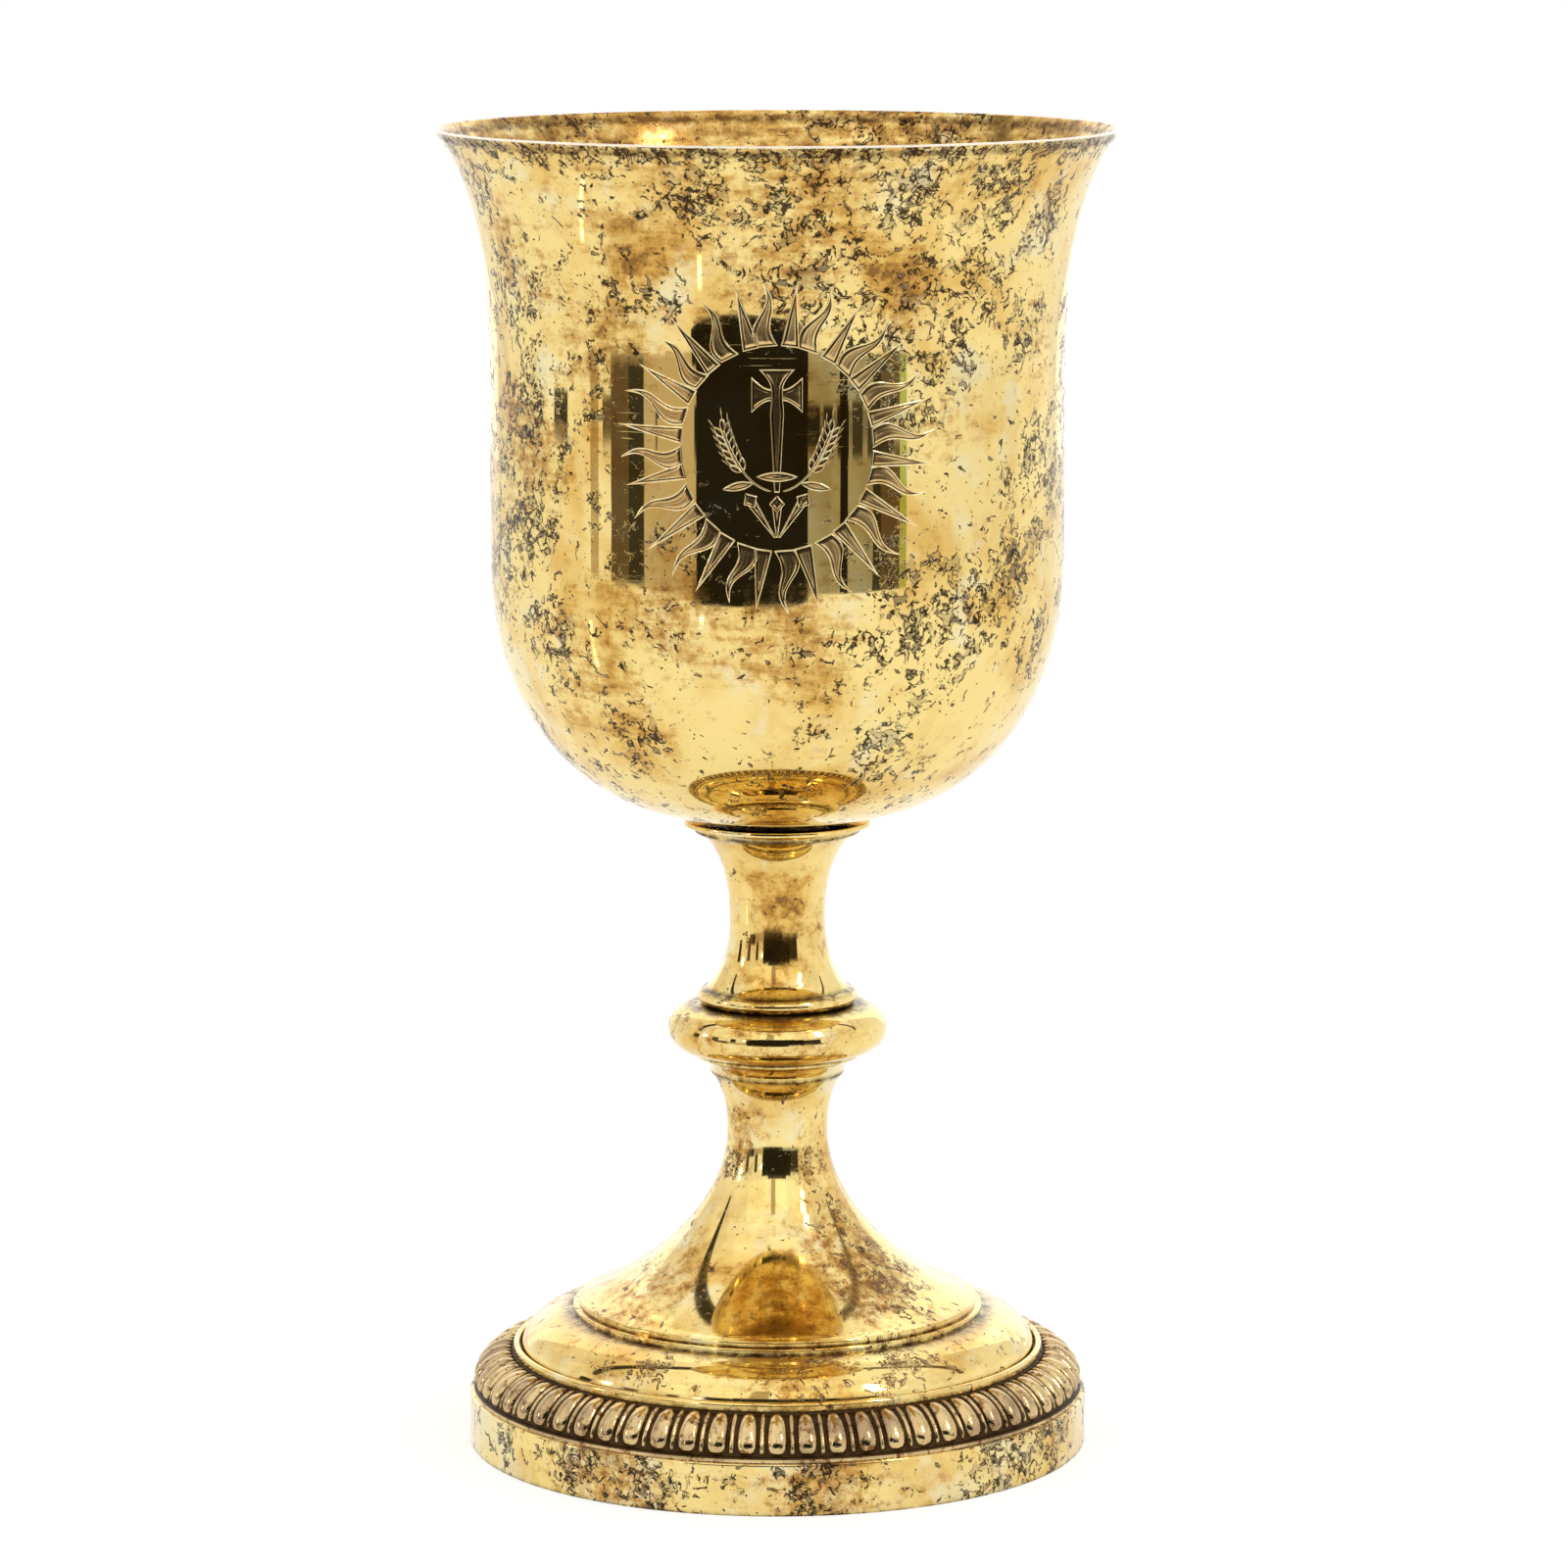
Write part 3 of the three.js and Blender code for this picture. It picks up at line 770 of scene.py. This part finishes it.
# A figure's edge, by the distance in from it in mm: a burr, a groove painted dark for dirt and shade, then
# satin ground.
EDGE_AT = (0.0, 0.08, 0.21, 0.30, 0.46, 0.56)
EDGE_RISE = (-0.01, 0.06, 0.06, 0.006, 0.006, 0.03)
EDGE_DIRT_AND_SHADE = (0.0, 0.0, 0.0, 1.0, 1.0, 0.1)
STROKE = (
    (-1.0, -0.01, 0.0), (-0.55, 0.05, 0.0), (0.0, 0.008, 1.0), (0.55, 0.05, 0.0), (1.0, -0.01, 0.0))


def resampled(line, step):
    """The same line with points no further apart than step."""
    made = [np.array(line[0], float)]
    for point in line[1:]:
        point = np.array(point, float)
        count = max(1, math.ceil(np.linalg.norm(point - made[-1]) / step))
        start = made[-1]
        made += [start + (point - start) * k / count for k in range(1, count + 1)]
    return np.array(made)


def curve(a, b, c, steps=8):
    """A bow from a to c that leans towards b."""
    a, b, c = (np.array(p, float) for p in (a, b, c))
    return [(1 - t) ** 2 * a + 2 * t * (1 - t) * b + t ** 2 * c for t in np.linspace(0, 1, steps + 1)]


def along_line(line, share):
    """The point at a share of a line's length."""
    line = np.array(line, float)
    reach = np.concatenate([[0], np.cumsum(np.linalg.norm(np.diff(line, axis=0), axis=1))])
    return np.array([np.interp(share * reach[-1], reach, line[:, k]) for k in (0, 1)])


def spread(length, inner, cut_start=True, cut_end=True):
    """Distances across a figure: close together at its cut edges, even between them."""
    edge = [min(at, length * 0.09 * k) for k, at in enumerate(EDGE_AT)]
    start = edge if cut_start else [0.0]
    stop = [length - d for d in reversed(edge)] if cut_end else [length]
    return start + list(np.linspace(start[-1], stop[0], inner + 2)[1:-1]) + stop


class Graving:
    """Gathers cut figures on the flat (u, v) plane in mm that wraps onto the bowl."""

    def __init__(self):
        self.points, self.faces, self.dirt, self.satin = [], [], [], []
        self.rng = random.Random(11)

    def grid(self, rows):
        """Adds a sheet of (u, v, rise, dirt and shade, satin) points."""
        first, wide = len(self.points), len(rows[0])
        for row in rows:
            for u, v, rise, dirt, satin in row:
                z = GLORY_Z + v
                r = bowl_radius(z) + rise
                self.points.append((r * math.sin(u / WALL_R), -r * math.cos(u / WALL_R), z))
                self.dirt.append(dirt)
                self.satin.append(satin)
        for k in range(len(rows) - 1):
            for j in range(wide - 1):
                a = first + k * wide + j
                self.faces.append((a, a + 1, a + wide + 1, a + wide))

    def figure(self, left, right, hatch=5, cut=(True, True), lift=0.0, rows=14):
        """A figure between two edge lines, hatched along it. cut says which ends are outlined."""
        length = np.linalg.norm(along_line(left, 0) / 2 + along_line(right, 0) / 2
                                - along_line(left, 1) / 2 - along_line(right, 1) / 2)
        lanes = 2 * hatch + 1
        runs = [(self.rng.uniform(0.02, 0.14), self.rng.uniform(0.6, 0.95)) for _ in range(lanes)]
        sheet = []
        for far in spread(length, rows, *cut):
            share = far / length
            a, b = along_line(left, share), along_line(right, share)
            width = max(np.linalg.norm(b - a), 1e-3)
            row = []
            for j, side in enumerate(spread(width, lanes)):
                edge = min(side, width - side, far if cut[0] else 9, length - far if cut[1] else 9)
                rise = np.interp(edge, EDGE_AT, EDGE_RISE)
                dirt = np.interp(edge, EDGE_AT, EDGE_DIRT_AND_SHADE)
                satin = np.interp(edge, EDGE_AT[-2:], (0, 1))
                k = j - len(EDGE_AT)
                if 0 <= k < lanes:
                    start, stop = runs[k - k % 2]
                    depth = min(1.0, max(0.0, (share - start) / 0.08), max(0.0, (stop - share) / 0.12))
                    depth *= satin
                    # The sunk hatch strokes are painted dark, for dirt and the shade in them; the raised ones
                    # are kept clean.
                    rise += (-0.03 if k % 2 else 0.03) * depth
                    dirt = max(dirt, 0.6 * depth) if k % 2 else dirt * (1 - depth)
                place = a + (b - a) * side / width
                row.append((place[0], place[1], rise + lift, dirt, satin))
            sheet.append(row)
        self.grid(sheet)

    def stroke(self, line, half, lift=0.0):
        """A single cut line: a valley painted dark for dirt and shade, between two burrs."""
        path = resampled(line, 0.6)
        ahead = np.gradient(path, axis=0)
        ahead /= np.maximum(np.linalg.norm(ahead, axis=1), 1e-9)[:, None]
        sheet = []
        for k, (here, way) in enumerate(zip(path, ahead)):
            taper = min(1.0, 0.35 + 0.65 * min(k, len(path) - 1 - k) / 2)
            side = np.array([way[1], -way[0]]) * half * taper
            sheet.append([(*(here - side * s), rise * taper + lift, dirt, 0.0)
                          for s, rise, dirt in STROKE])
        self.grid(sheet)


def ray(cut, angle, wavy):
    """One ray of the glory, straight or flaming, from its base to its tip."""
    inner = 1 / math.hypot(math.cos(angle) / RAY_INNER[0], math.sin(angle) / RAY_INNER[1])
    outer = RAY_OUTER + cut.rng.uniform(-0.7, 0.7)
    out = np.array([math.cos(angle), math.sin(angle)])
    side = np.array([-out[1], out[0]])
    half = inner * math.pi / RAYS * (1.0 if wavy else 0.9)
    sway = 1.0 if wavy else 0.0
    lean = cut.rng.uniform(-0.25, 0.25)

    def at(t, share):
        swell = 1 + (0.16 * math.sin(TAU * t) if wavy else 0)
        width = half * (1 - t) ** (0.8 if wavy else 0.95) * swell
        shift = sway * math.sin(TAU * 1.05 * t) * (1 - 0.25 * t) + lean * t
        return out * (inner + (outer - inner) * t) + side * (shift + share * width)

    steps = np.linspace(0, 1, 17)
    left, right = [at(t, 1) for t in steps], [at(t, -1) for t in steps]
    cut.figure(left, right, hatch=2, cut=(True, False), rows=18)


CROSS_V = 9.2          # middle of the cross, over the middle of the glory
SHAFT_V = -7.6         # lower end of its shaft


def cross(cut):
    """Cross with flared arms on a long tapering shaft."""
    reach, flare, neck = 4.4, 3.1, 1.0
    for sign in (-1, 1):
        low = curve((neck, -neck), (reach * 0.55, -neck), (reach, -flare))
        high = curve((neck, neck), (reach * 0.55, neck), (reach, flare))
        edges = (high, low) if sign > 0 else (low, high)
        first, second = ([(sign * u, v + CROSS_V) for u, v in edge] for edge in edges)
        cut.figure(first, second, hatch=3, cut=(False, True), rows=8)
    right = curve((flare, reach), (neck, reach * 0.55), (neck, neck))
    right += [(neck, -neck), (1.2, -3.0), (0.45, SHAFT_V - CROSS_V)]
    right = [(u, v + CROSS_V) for u, v in right]
    left = [(-u, v) for u, v in right]
    cut.figure(right, left, hatch=2, rows=26)


def grain(cut, root, tip, width, hatch=1):
    """A pointed grain or leaf with a midrib."""
    root, tip = np.array(root, float), np.array(tip, float)
    along = tip - root
    side = np.array([-along[1], along[0]]) / np.linalg.norm(along) * width * 2
    middle = root + along * 0.45
    left, right = curve(root, middle + side, tip), curve(root, middle - side, tip)
    cut.figure(left, right, hatch=hatch, cut=(False, False), rows=5)


def wheat_ear(cut, sign):
    """An ear of wheat that leans out from the foot of the shaft."""
    stalk = curve((sign * 1.0, -7.4), (sign * 6.0, -6.4), (sign * 9.2, 2.6), 16)
    cut.stroke(stalk, 0.16)
    for share in np.linspace(0.45, 0.95, 6):
        base = along_line(stalk, share)
        ahead = along_line(stalk, share + 0.05) - along_line(stalk, share - 0.05)
        ahead /= np.linalg.norm(ahead)
        for side in (-1, 1):
            lean = np.array([-ahead[1], ahead[0]]) * side
            tip = base + ahead * 2.3 + lean * 1.35
            grain(cut, base + lean * 0.2, tip, 0.55)
            cut.stroke([tip, tip + ahead * 1.5 + lean * 0.4], 0.11)
    tip = stalk[16] + np.array((sign * 0.4, 2.6))
    grain(cut, stalk[16], tip, 0.55)
    cut.stroke([tip, stalk[16] + np.array((sign * 0.6, 4.4))], 0.11)
    grain(cut, stalk[5], stalk[5] + np.array((sign * 5.6, -1.2)), 0.8, hatch=2)


def nail(cut, head, point):
    """A nail with a diamond head."""
    head, point = np.array(head, float), np.array(point, float)
    along = (point - head) / np.linalg.norm(point - head)
    side = np.array([-along[1], along[0]])
    upper, lower = head - along * 1.5, head + along * 1.5
    left, right = head + side * 1.35, head - side * 1.35
    cut.figure([left * 0.6 + lower * 0.4, point + side * 0.14],
               [right * 0.6 + lower * 0.4, point - side * 0.14], hatch=2, cut=(False, True), rows=10)
    cut.figure([upper, left, lower], [upper, right, lower], hatch=1, cut=(False, False), lift=0.03, rows=7)


def bowl_engraving():
    """A glory of rays round a cross, two ears of wheat tied by a ribbon, and three nails."""
    cut = Graving()
    for k in range(RAYS):
        angle = math.radians(83) + k * TAU / RAYS + math.radians(cut.rng.uniform(-1.3, 1.3))
        ray(cut, angle, wavy=k % 2 == 1)
    cross(cut)
    wheat_ear(cut, -1)
    wheat_ear(cut, 1)
    upper, lower = (curve((-3.6, -4.9), (0, v), (3.6, -4.9)) for v in (-3.2, -6.6))
    cut.figure(upper, lower, hatch=2, cut=(False, False), lift=0.04)
    for head in ((-4.6, -9.0), (0, -9.6), (4.5, -9.0)):
        nail(cut, head, (head[0] * 0.08, -15.4))
    marks = {"grime_and_shade": cut.dirt, "satin": cut.satin}
    return mesh_object("bowl_engraving", cut.points, cut.faces, marks, sharp=80)


# ---- The pieces in place ----

def on_bowl(*marks):
    """(place, reach_mm, strength) marks from (azimuth, height, reach_mm, strength) on the bowl's
    outside. Azimuths are in degrees from the front, positive to the right."""
    made = []
    for azimuth, z, reach, strength in marks:
        r, turn = float(bowl_radius(z)), math.radians(azimuth)
        made.append(((r * math.sin(turn), -r * math.cos(turn), z), reach, strength))
    return made


BOWL_STAINS = on_bowl(
    (6, 233, 26, 0.75), (-16, 236, 24, 0.6), (-34, 232, 20, 0.5), (36, 235, 22, 0.5), (2, 221, 22, 0.85),
    (20, 217, 16, 0.65), (-62, 222, 18, 0.7), (3, 155, 20, 0.9), (-20, 157, 22, 0.75), (-40, 146, 24, 0.65),
    (-48, 142, 14, 0.6), (-58, 186, 22, 0.85), (-36, 206, 20, 0.75), (-30, 222, 20, 0.7), (-50, 216, 16, 0.6),
    (34, 192, 14, 0.5), (58, 206, 20, 0.4), (110, 200, 40, 0.9),
    (160, 165, 40, 0.8), (-130, 216, 44, 0.9), (-150, 150, 34, 0.7), (180, 228, 40, 0.9))
BOWL_FLAKES = on_bowl(
    (-68, 231, 14, 0.9), (-62, 212, 16, 1.0), (-60, 192, 17, 1.0), (-58, 172, 18, 1.0), (-50, 152, 16, 0.9),
    (-38, 176, 13, 0.6), (-38, 198, 11, 0.6), (-14, 231, 16, 1.0), (4, 228, 15, 0.8), (22, 231, 17, 1.0),
    (42, 231, 17, 1.0), (60, 226, 15, 0.9), (-20, 212, 8, 1.0), (56, 206, 15, 0.8), (62, 184, 15, 0.85),
    (54, 166, 15, 1.0), (64, 150, 13, 0.9), (28, 154, 11, 1.0), (40, 149, 11, 0.85), (-24, 156, 12, 0.6),
    (-34, 134, 16, 0.7), (105, 215, 28, 0.9), (125, 170, 26, 0.8), (170, 205, 30, 0.9), (-165, 160, 24, 0.8),
    (-120, 190, 28, 0.9), (-95, 150, 20, 0.8), (150, 140, 20, 0.7))
BOWL_BARE = on_bowl((-4, 190, 30, 1.2), (0, 172, 20, 0.8), (-8, 140, 16, 0.3), (-36, 220, 14, 0.3))
STEM_STAINS = (
    ((10, -6, 97), 12, 0.6), ((-10, 3, 108), 12, 0.6), ((-8, -12, 69), 9, 0.9), ((0, -20, 78), 24, 0.6),
    ((0, -9, 97), 16, 0.5))
STEM_FLAKES = (((-8, -4, 104), 8, 0.6), ((14, 5, 78), 14, 0.6), ((-18, -6, 78), 9, 0.9))
FOOT_STAINS = (
    ((14, -18, 34), 24, 1.0), ((-9, -8, 58), 12, 0.9), ((8, -9, 54), 10, 0.8), ((0, -30, 31), 20, 0.5),
    ((0, -42, 22), 22, 0.5), ((-14, 24, 33), 20, 0.9), ((-30, 0, 28), 14, 0.4), ((-24, -17, 30), 20, 0.8))
FOOT_FLAKES = (
    ((20, -15, 33), 20, 1.0), ((11, -10, 44), 12, 0.9), ((-9, -6, 52), 9, 0.9), ((7, -8, 53), 8, 0.8),
    ((22, -36, 22), 16, 0.9), ((-23, -37, 22), 10, 0.9), ((6, -42, 21), 17, 0.8), ((-10, 24, 33), 16, 0.9),
    ((-42, 12, 20), 16, 0.8))
BAND_STAINS = (
    ((-30, -48, 6), 24, 0.8), ((9, -56, 4), 26, 0.7), ((42, -37, 3), 18, 0.4), ((-40, 40, 5), 26, 0.8),
    ((36, 43, 5), 24, 0.7))
BAND_FLAKES = (
    ((-23, -52, 3), 14, 1.0), ((-36, -43, 6), 11, 0.9), ((5, -56, 3), 18, 1.0), ((-50, -27, 5), 10, 0.9),
    ((36, -43, 3), 12, 0.6), ((-30, 48, 5), 18, 1.0), ((45, 33, 4), 18, 0.9))

MATERIALS = {
    "gilt_bowl": gilt("bowl_gilding", BOWL_STAINS, BOWL_FLAKES, BOWL_BARE, haze=0.5, all_over=0.6, specks=1.0,
                      gloss=0.03, loop_mm=2.8, worn_from=BOWL_LIP_Z - 6.5),
    "gilt_stem": gilt("stem_gilding", STEM_STAINS, STEM_FLAKES, haze=0.6, all_over=0.15, specks=0.0,
                      loop_mm=1.2, streaky=0.15, edge=FLAKE_RUST, kept=0.3),
    "gilt_foot": gilt("foot_gilding", FOOT_STAINS, FOOT_FLAKES, haze=0.5, all_over=0.3, specks=0.3,
                      gloss=0.06, loop_mm=1.3, streaky=0.15, edge=FLAKE_RUST, kept=0.12),
    "gilt_band": gilt("band_gilding", BAND_STAINS, BAND_FLAKES, all_over=0.75, gloss=0.10, loop_mm=2.2,
                      streaky=0.3, bleach=1.2),
    "gadroon": cast_gilt("border_gilding"),
    "silver": bare_metal("dull_silver", srgb(196, 184, 160), srgb(140, 122, 96)),
    "steel": bare_metal("dull_steel", srgb(150, 148, 144), srgb(96, 90, 84), gloss=0.35, size_mm=3),
}


# Each function has the name of the node that its piece replaces.
PIECES = (
    (bowl, "gilt_bowl"), (bowl_boss, "silver"), (stem_top_flange, "gilt_stem"),
    (upper_stem, "gilt_stem"), (upper_stem_ring, "gilt_stem"), (knop_upper_half, "gilt_stem"),
    (knop_lower_half, "gilt_stem"), (lower_stem_collar, "gilt_stem"), (foot_trumpet, "gilt_foot"),
    (foot_tier, "gilt_foot"), (foot_tier_wire, "gilt_foot"), (gadroon_border, "gadroon"),
    (foot_rim_band, "gilt_band"), (foot_base_ring, "gilt_band"), (foot_bridge_plate, "silver"),
    (tie_rod, "steel"), (tie_washer, "steel"), (tie_nut, "steel"))
BODIES = {"tie_washer": "washer", "tie_nut": "nut"}

for make, slot in PIECES:
    node = make.__name__
    body = BODIES.get(node, "chalice")
    piece = make()
    piece.data.materials.append(MATERIALS[slot])
    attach(piece, body)
    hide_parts(node)

engraving = bowl_engraving()
engraving.data.materials.append(engraved_gold("engraved_lines"))
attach(engraving, "chalice")

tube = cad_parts["knop_core_tube"]
tube.data.materials.clear()
tube.data.materials.append(MATERIALS["silver"])


# ---- Studio ----

TABLE_R = 1.45         # the table's edge shows in the bowl's reflections
TABLE_BACK = 0.33      # how far the middle of the table is behind the object
ABOVE_TABLE = 0.002
WHITE = (1.0, 1.0, 1.0)

# Light of each stage material: its level, its tint, and over how many metres it changes softly.
GLOWS = {
    "black": (0.018, (1.0, 0.88, 0.7)),
    "dusk": (0.05, (1.0, 0.9, 0.7)),
    "brown": (0.15, (1.0, 0.74, 0.55)),
    "tan": (0.60, (1.0, 0.84, 0.66)),
    "moss": (0.62, (0.82, 1.0, 0.36)),
    "paper": (0.42, (1.0, 0.98, 0.92), 0.2),
    "left": (1.12, WHITE, 0.8),
    "right": (1.16, WHITE, 0.8),
    "back": (1.5, WHITE),
    "ceiling": (1.30, WHITE, 0.7),
    "panel": (1.4, (1.0, 1.0, 0.95), 0.5),
    "lamp": (14.0, WHITE),
    "glint": (2.6, WHITE),
}

# Upright cards, in groups with the same heights and distance in metres. Each card has its name, its
# light, and the azimuths where it starts and stops.
WALLS = ((-1.2, 2.4, 1.9, (
    ("wall_left", "left", -148, -35), ("wall_front", "left", -36, 50),
    ("wall_right", "right", 48, 148), ("wall_back", "back", 146, 214))),)
PANELS = (
    (0.76, 2.0, 1.6, (
        ("panel_front", "panel", -60, 50), ("panel_left", "right", -92, -60),
        ("panel_right", "right", 50, 66))),
    (0.76, 2.0, 1.55, (("panel_strut", "tan", -13, -4),)))
OPENING = (
    (0.04, 0.62, 1.45, (("opening_left", "black", -33, 28),)),
    (0.60, 0.70, 1.44, (("opening_top", "dusk", -20, 18),)),
    (0.04, 0.40, 1.45, (("bar_one", "dusk", -98, -90),)),
    (0.04, 0.46, 1.45, (("bar_two", "brown", -72, -64),)),
    (0.04, 0.50, 1.45, (("bar_three", "dusk", -50, -44),)),
    (0.04, 0.52, 1.45, (("opening_right", "dusk", 28, 46),)),
    (-1.2, 0.05, 1.45, (
        ("below_opening", "black", -31.5, 11.8), ("paper_one", "paper", 11.8, 24.3),
        ("gap_one", "black", 24.3, 27.4), ("paper_two", "paper", 27.4, 37.3),
        ("gap_two", "dusk", 37.3, 40.5), ("brown_right", "brown", 40.5, 48.5),
        ("moss_right", "moss", 48.5, 51.5))),
    (-1.2, 0.12, 1.45, (("tan_left", "tan", -53, -31.5),)),
    (-1.2, 0.16, 1.45, (("gap_three", "dusk", -59.8, -53), ("brown_left", "brown", -68, -59.8))),
    (-1.2, 0.20, 1.45, (("tan_far_left", "tan", -78, -74),)),
    (0.34, 0.50, 1.4, (("lamp_left", "lamp", -85, -80),)),
    (0.34, 0.42, 1.4, (("lamp_front", "lamp", -36, -34),)),
    (0.90, 1.50, 1.4, (("lamp_right", "lamp", 47, 54),)),
    (1.50, 1.95, 1.4, (("lamp_high", "lamp", 53, 60),)))

# Slanting seams of the tent: name, light, lower end, upper end, and the widths there.
SEAMS = (
    ("seam_left", "dusk", (-1.6, 0.14, 0.80), (-0.50, 0.88, 2.1), (0.10, 0.26)),
    ("seam_left_end", "dusk", (-0.50, 0.88, 2.1), (-0.12, 0.90, 2.3), (0.26, 0.30)),
    ("seam_right", "brown", (1.5, 0.20, 0.80), (0.50, 0.88, 2.1), (0.08, 0.16)))

# Azimuth and distance of each corner of the dark mat at the front of the table.
MAT = ((-33, 1.3), (-33, 0.95), (-29, 0.86), (8, 0.86), (11.8, 0.95), (11.8, 1.3))


def glow_material(name, level, tint=WHITE, spread_m=0.0):
    """Even light, or light that varies softly over spread_m."""
    s = Shader(name)
    color = tuple(level * t for t in tint) + (1,)
    if spread_m:
        dim = tuple(0.88 * c for c in color[:3]) + (1,)
        color = s.mix(s.step(s.noise(spread_m / MM, detail=2), 0.4, 0.62), dim, color)
    return s.shown(s.glow(color))


def stage_mesh(name, points, faces, material):
    mesh = bpy.data.meshes.new(name)
    mesh.from_pydata(points, [], faces)
    mesh.materials.append(material)
    made = linked(name, mesh)
    return made


def reflected(name, points, faces, material):
    """A stage piece that shows in nothing but mirror-like reflections."""
    made = stage_mesh(name, points, faces, material)
    for kind in ("camera", "diffuse", "shadow", "transmission"):
        setattr(made, "visible_" + kind, False)


def out_from_object(azimuth, distance, z):
    """A point on the stage. Azimuths are in degrees from the front, positive to the right."""
    turn = math.radians(azimuth)
    return (distance * math.sin(turn), -distance * math.cos(turn), z)


def disc(r, back, z, sides):
    """Points of a round outline whose middle is a distance behind the object."""
    turns = [k * TAU / sides for k in range(sides)]
    return [(r * math.cos(t), r * math.sin(t) + back, z) for t in turns]


def floor():
    """A pale round table top, bright enough to run into the white behind it."""
    s = Shader("studio_white")
    matt = s.make("ShaderNodeBsdfDiffuse", {"Color": (0.42, 0.42, 0.41, 1)}).outputs[0]
    both = s.make("ShaderNodeAddShader", {0: matt, 1: s.glow((0.62, 0.62, 0.61, 1))}).outputs[0]
    sides = 180
    edge = disc(TABLE_R, TABLE_BACK, 0, sides)
    stage_mesh("studio_floor", edge, [tuple(range(sides))], s.shown(both))


def card(name, start, stop, heights, distance, material):
    """A curved upright card round the object."""
    steps = max(2, math.ceil(abs(stop - start) / 6))
    turns = np.linspace(start, stop, steps + 1)
    points = [out_from_object(turn, distance, z) for z in heights for turn in turns]
    faces = [(k, k + 1, k + steps + 2, k + steps + 1) for k in range(steps)]
    reflected(name, points, faces, material)


def cards(groups, glows):
    for low, high, distance, group in groups:
        for name, glow, start, stop in group:
            card(name, start, stop, (low, high), distance, glows[glow])


def seam(name, low_at, high_at, widths, material):
    """A strip from one point to another, turned to face the object."""
    low_at, high_at = Vector(low_at), Vector(high_at)
    side = (high_at - low_at).cross(low_at).normalized() / 2
    low, high = side * widths[0], side * widths[1]
    points = [tuple(p) for p in (low_at - low, low_at + low, high_at + high, high_at - high)]
    reflected(name, points, [(0, 1, 2, 3)], material)


def gleam(name, azimuth, near, far, material):
    """A thin bright strip along the table, pointing at the object."""
    spread_deg = 0.8
    corners = ((near, -1), (near, 1), (far, 1), (far, -1))
    points = [out_from_object(azimuth + side * spread_deg, r, ABOVE_TABLE) for r, side in corners]
    reflected(name, points, [(0, 1, 2, 3)], material)


def tent():
    """A light tent, as reflections show it: pale walls, a bright panel over the front, and the dark
    opening that the camera looks through, with strips of paper hanging below it."""
    glows = {name: glow_material("tent_" + name, *light) for name, light in GLOWS.items()}
    cards(WALLS, glows)
    sides = 48
    reflected("ceiling", disc(1.95, 0, 2.4, sides), [tuple(range(sides))], glows["ceiling"])
    cards(PANELS, glows)
    for name, glow, *place in SEAMS:
        seam(name, *place, glows[glow])
    mat = [out_from_object(azimuth, distance, ABOVE_TABLE) for azimuth, distance in MAT]
    reflected("dark_mat", mat, [tuple(range(len(mat)))], glows["black"])
    cards(OPENING, glows)
    gleam("gleam_left", -78.5, 0.32, 0.60, glows["glint"])
    gleam("gleam_front", -29.2, 0.52, 0.69, glows["glint"])


def soft_light(name, place, aim, size, watts):
    data = bpy.data.lights.new(name, "AREA")
    data.shape = "SQUARE"
    data.size = size
    data.energy = watts
    made = linked(name, data)
    made.location = place
    made.rotation_euler = (Vector(aim) - Vector(place)).to_track_quat("-Z", "Y").to_euler()
    made.visible_glossy = False


def studio():
    floor()
    tent()
    world = bpy.data.worlds.new("studio_world")
    bpy.context.scene.world = world
    world.use_nodes = True
    background = world.node_tree.nodes["Background"]
    background.inputs["Color"].default_value = (*WHITE, 1)
    background.inputs["Strength"].default_value = 1.0
    soft_light("light_top", (0.3, -0.3, 2.0), (0, 0, 0.1), 1.4, 10)


def camera():
    """Long lens a little over a metre away, looking down about nine degrees."""
    down = 0.15746
    data = bpy.data.cameras.new("camera")
    data.sensor_width = 36
    data.lens = 143.85
    data.dof.use_dof = False
    made = linked("camera", data)
    made.location = (0.0012, -1.1227, 0.29956)
    made.rotation_euler = (math.pi / 2 - down, 0, 0)
    bpy.context.scene.camera = made


studio()
camera()
bpy.context.scene.view_settings.view_transform = "Standard"
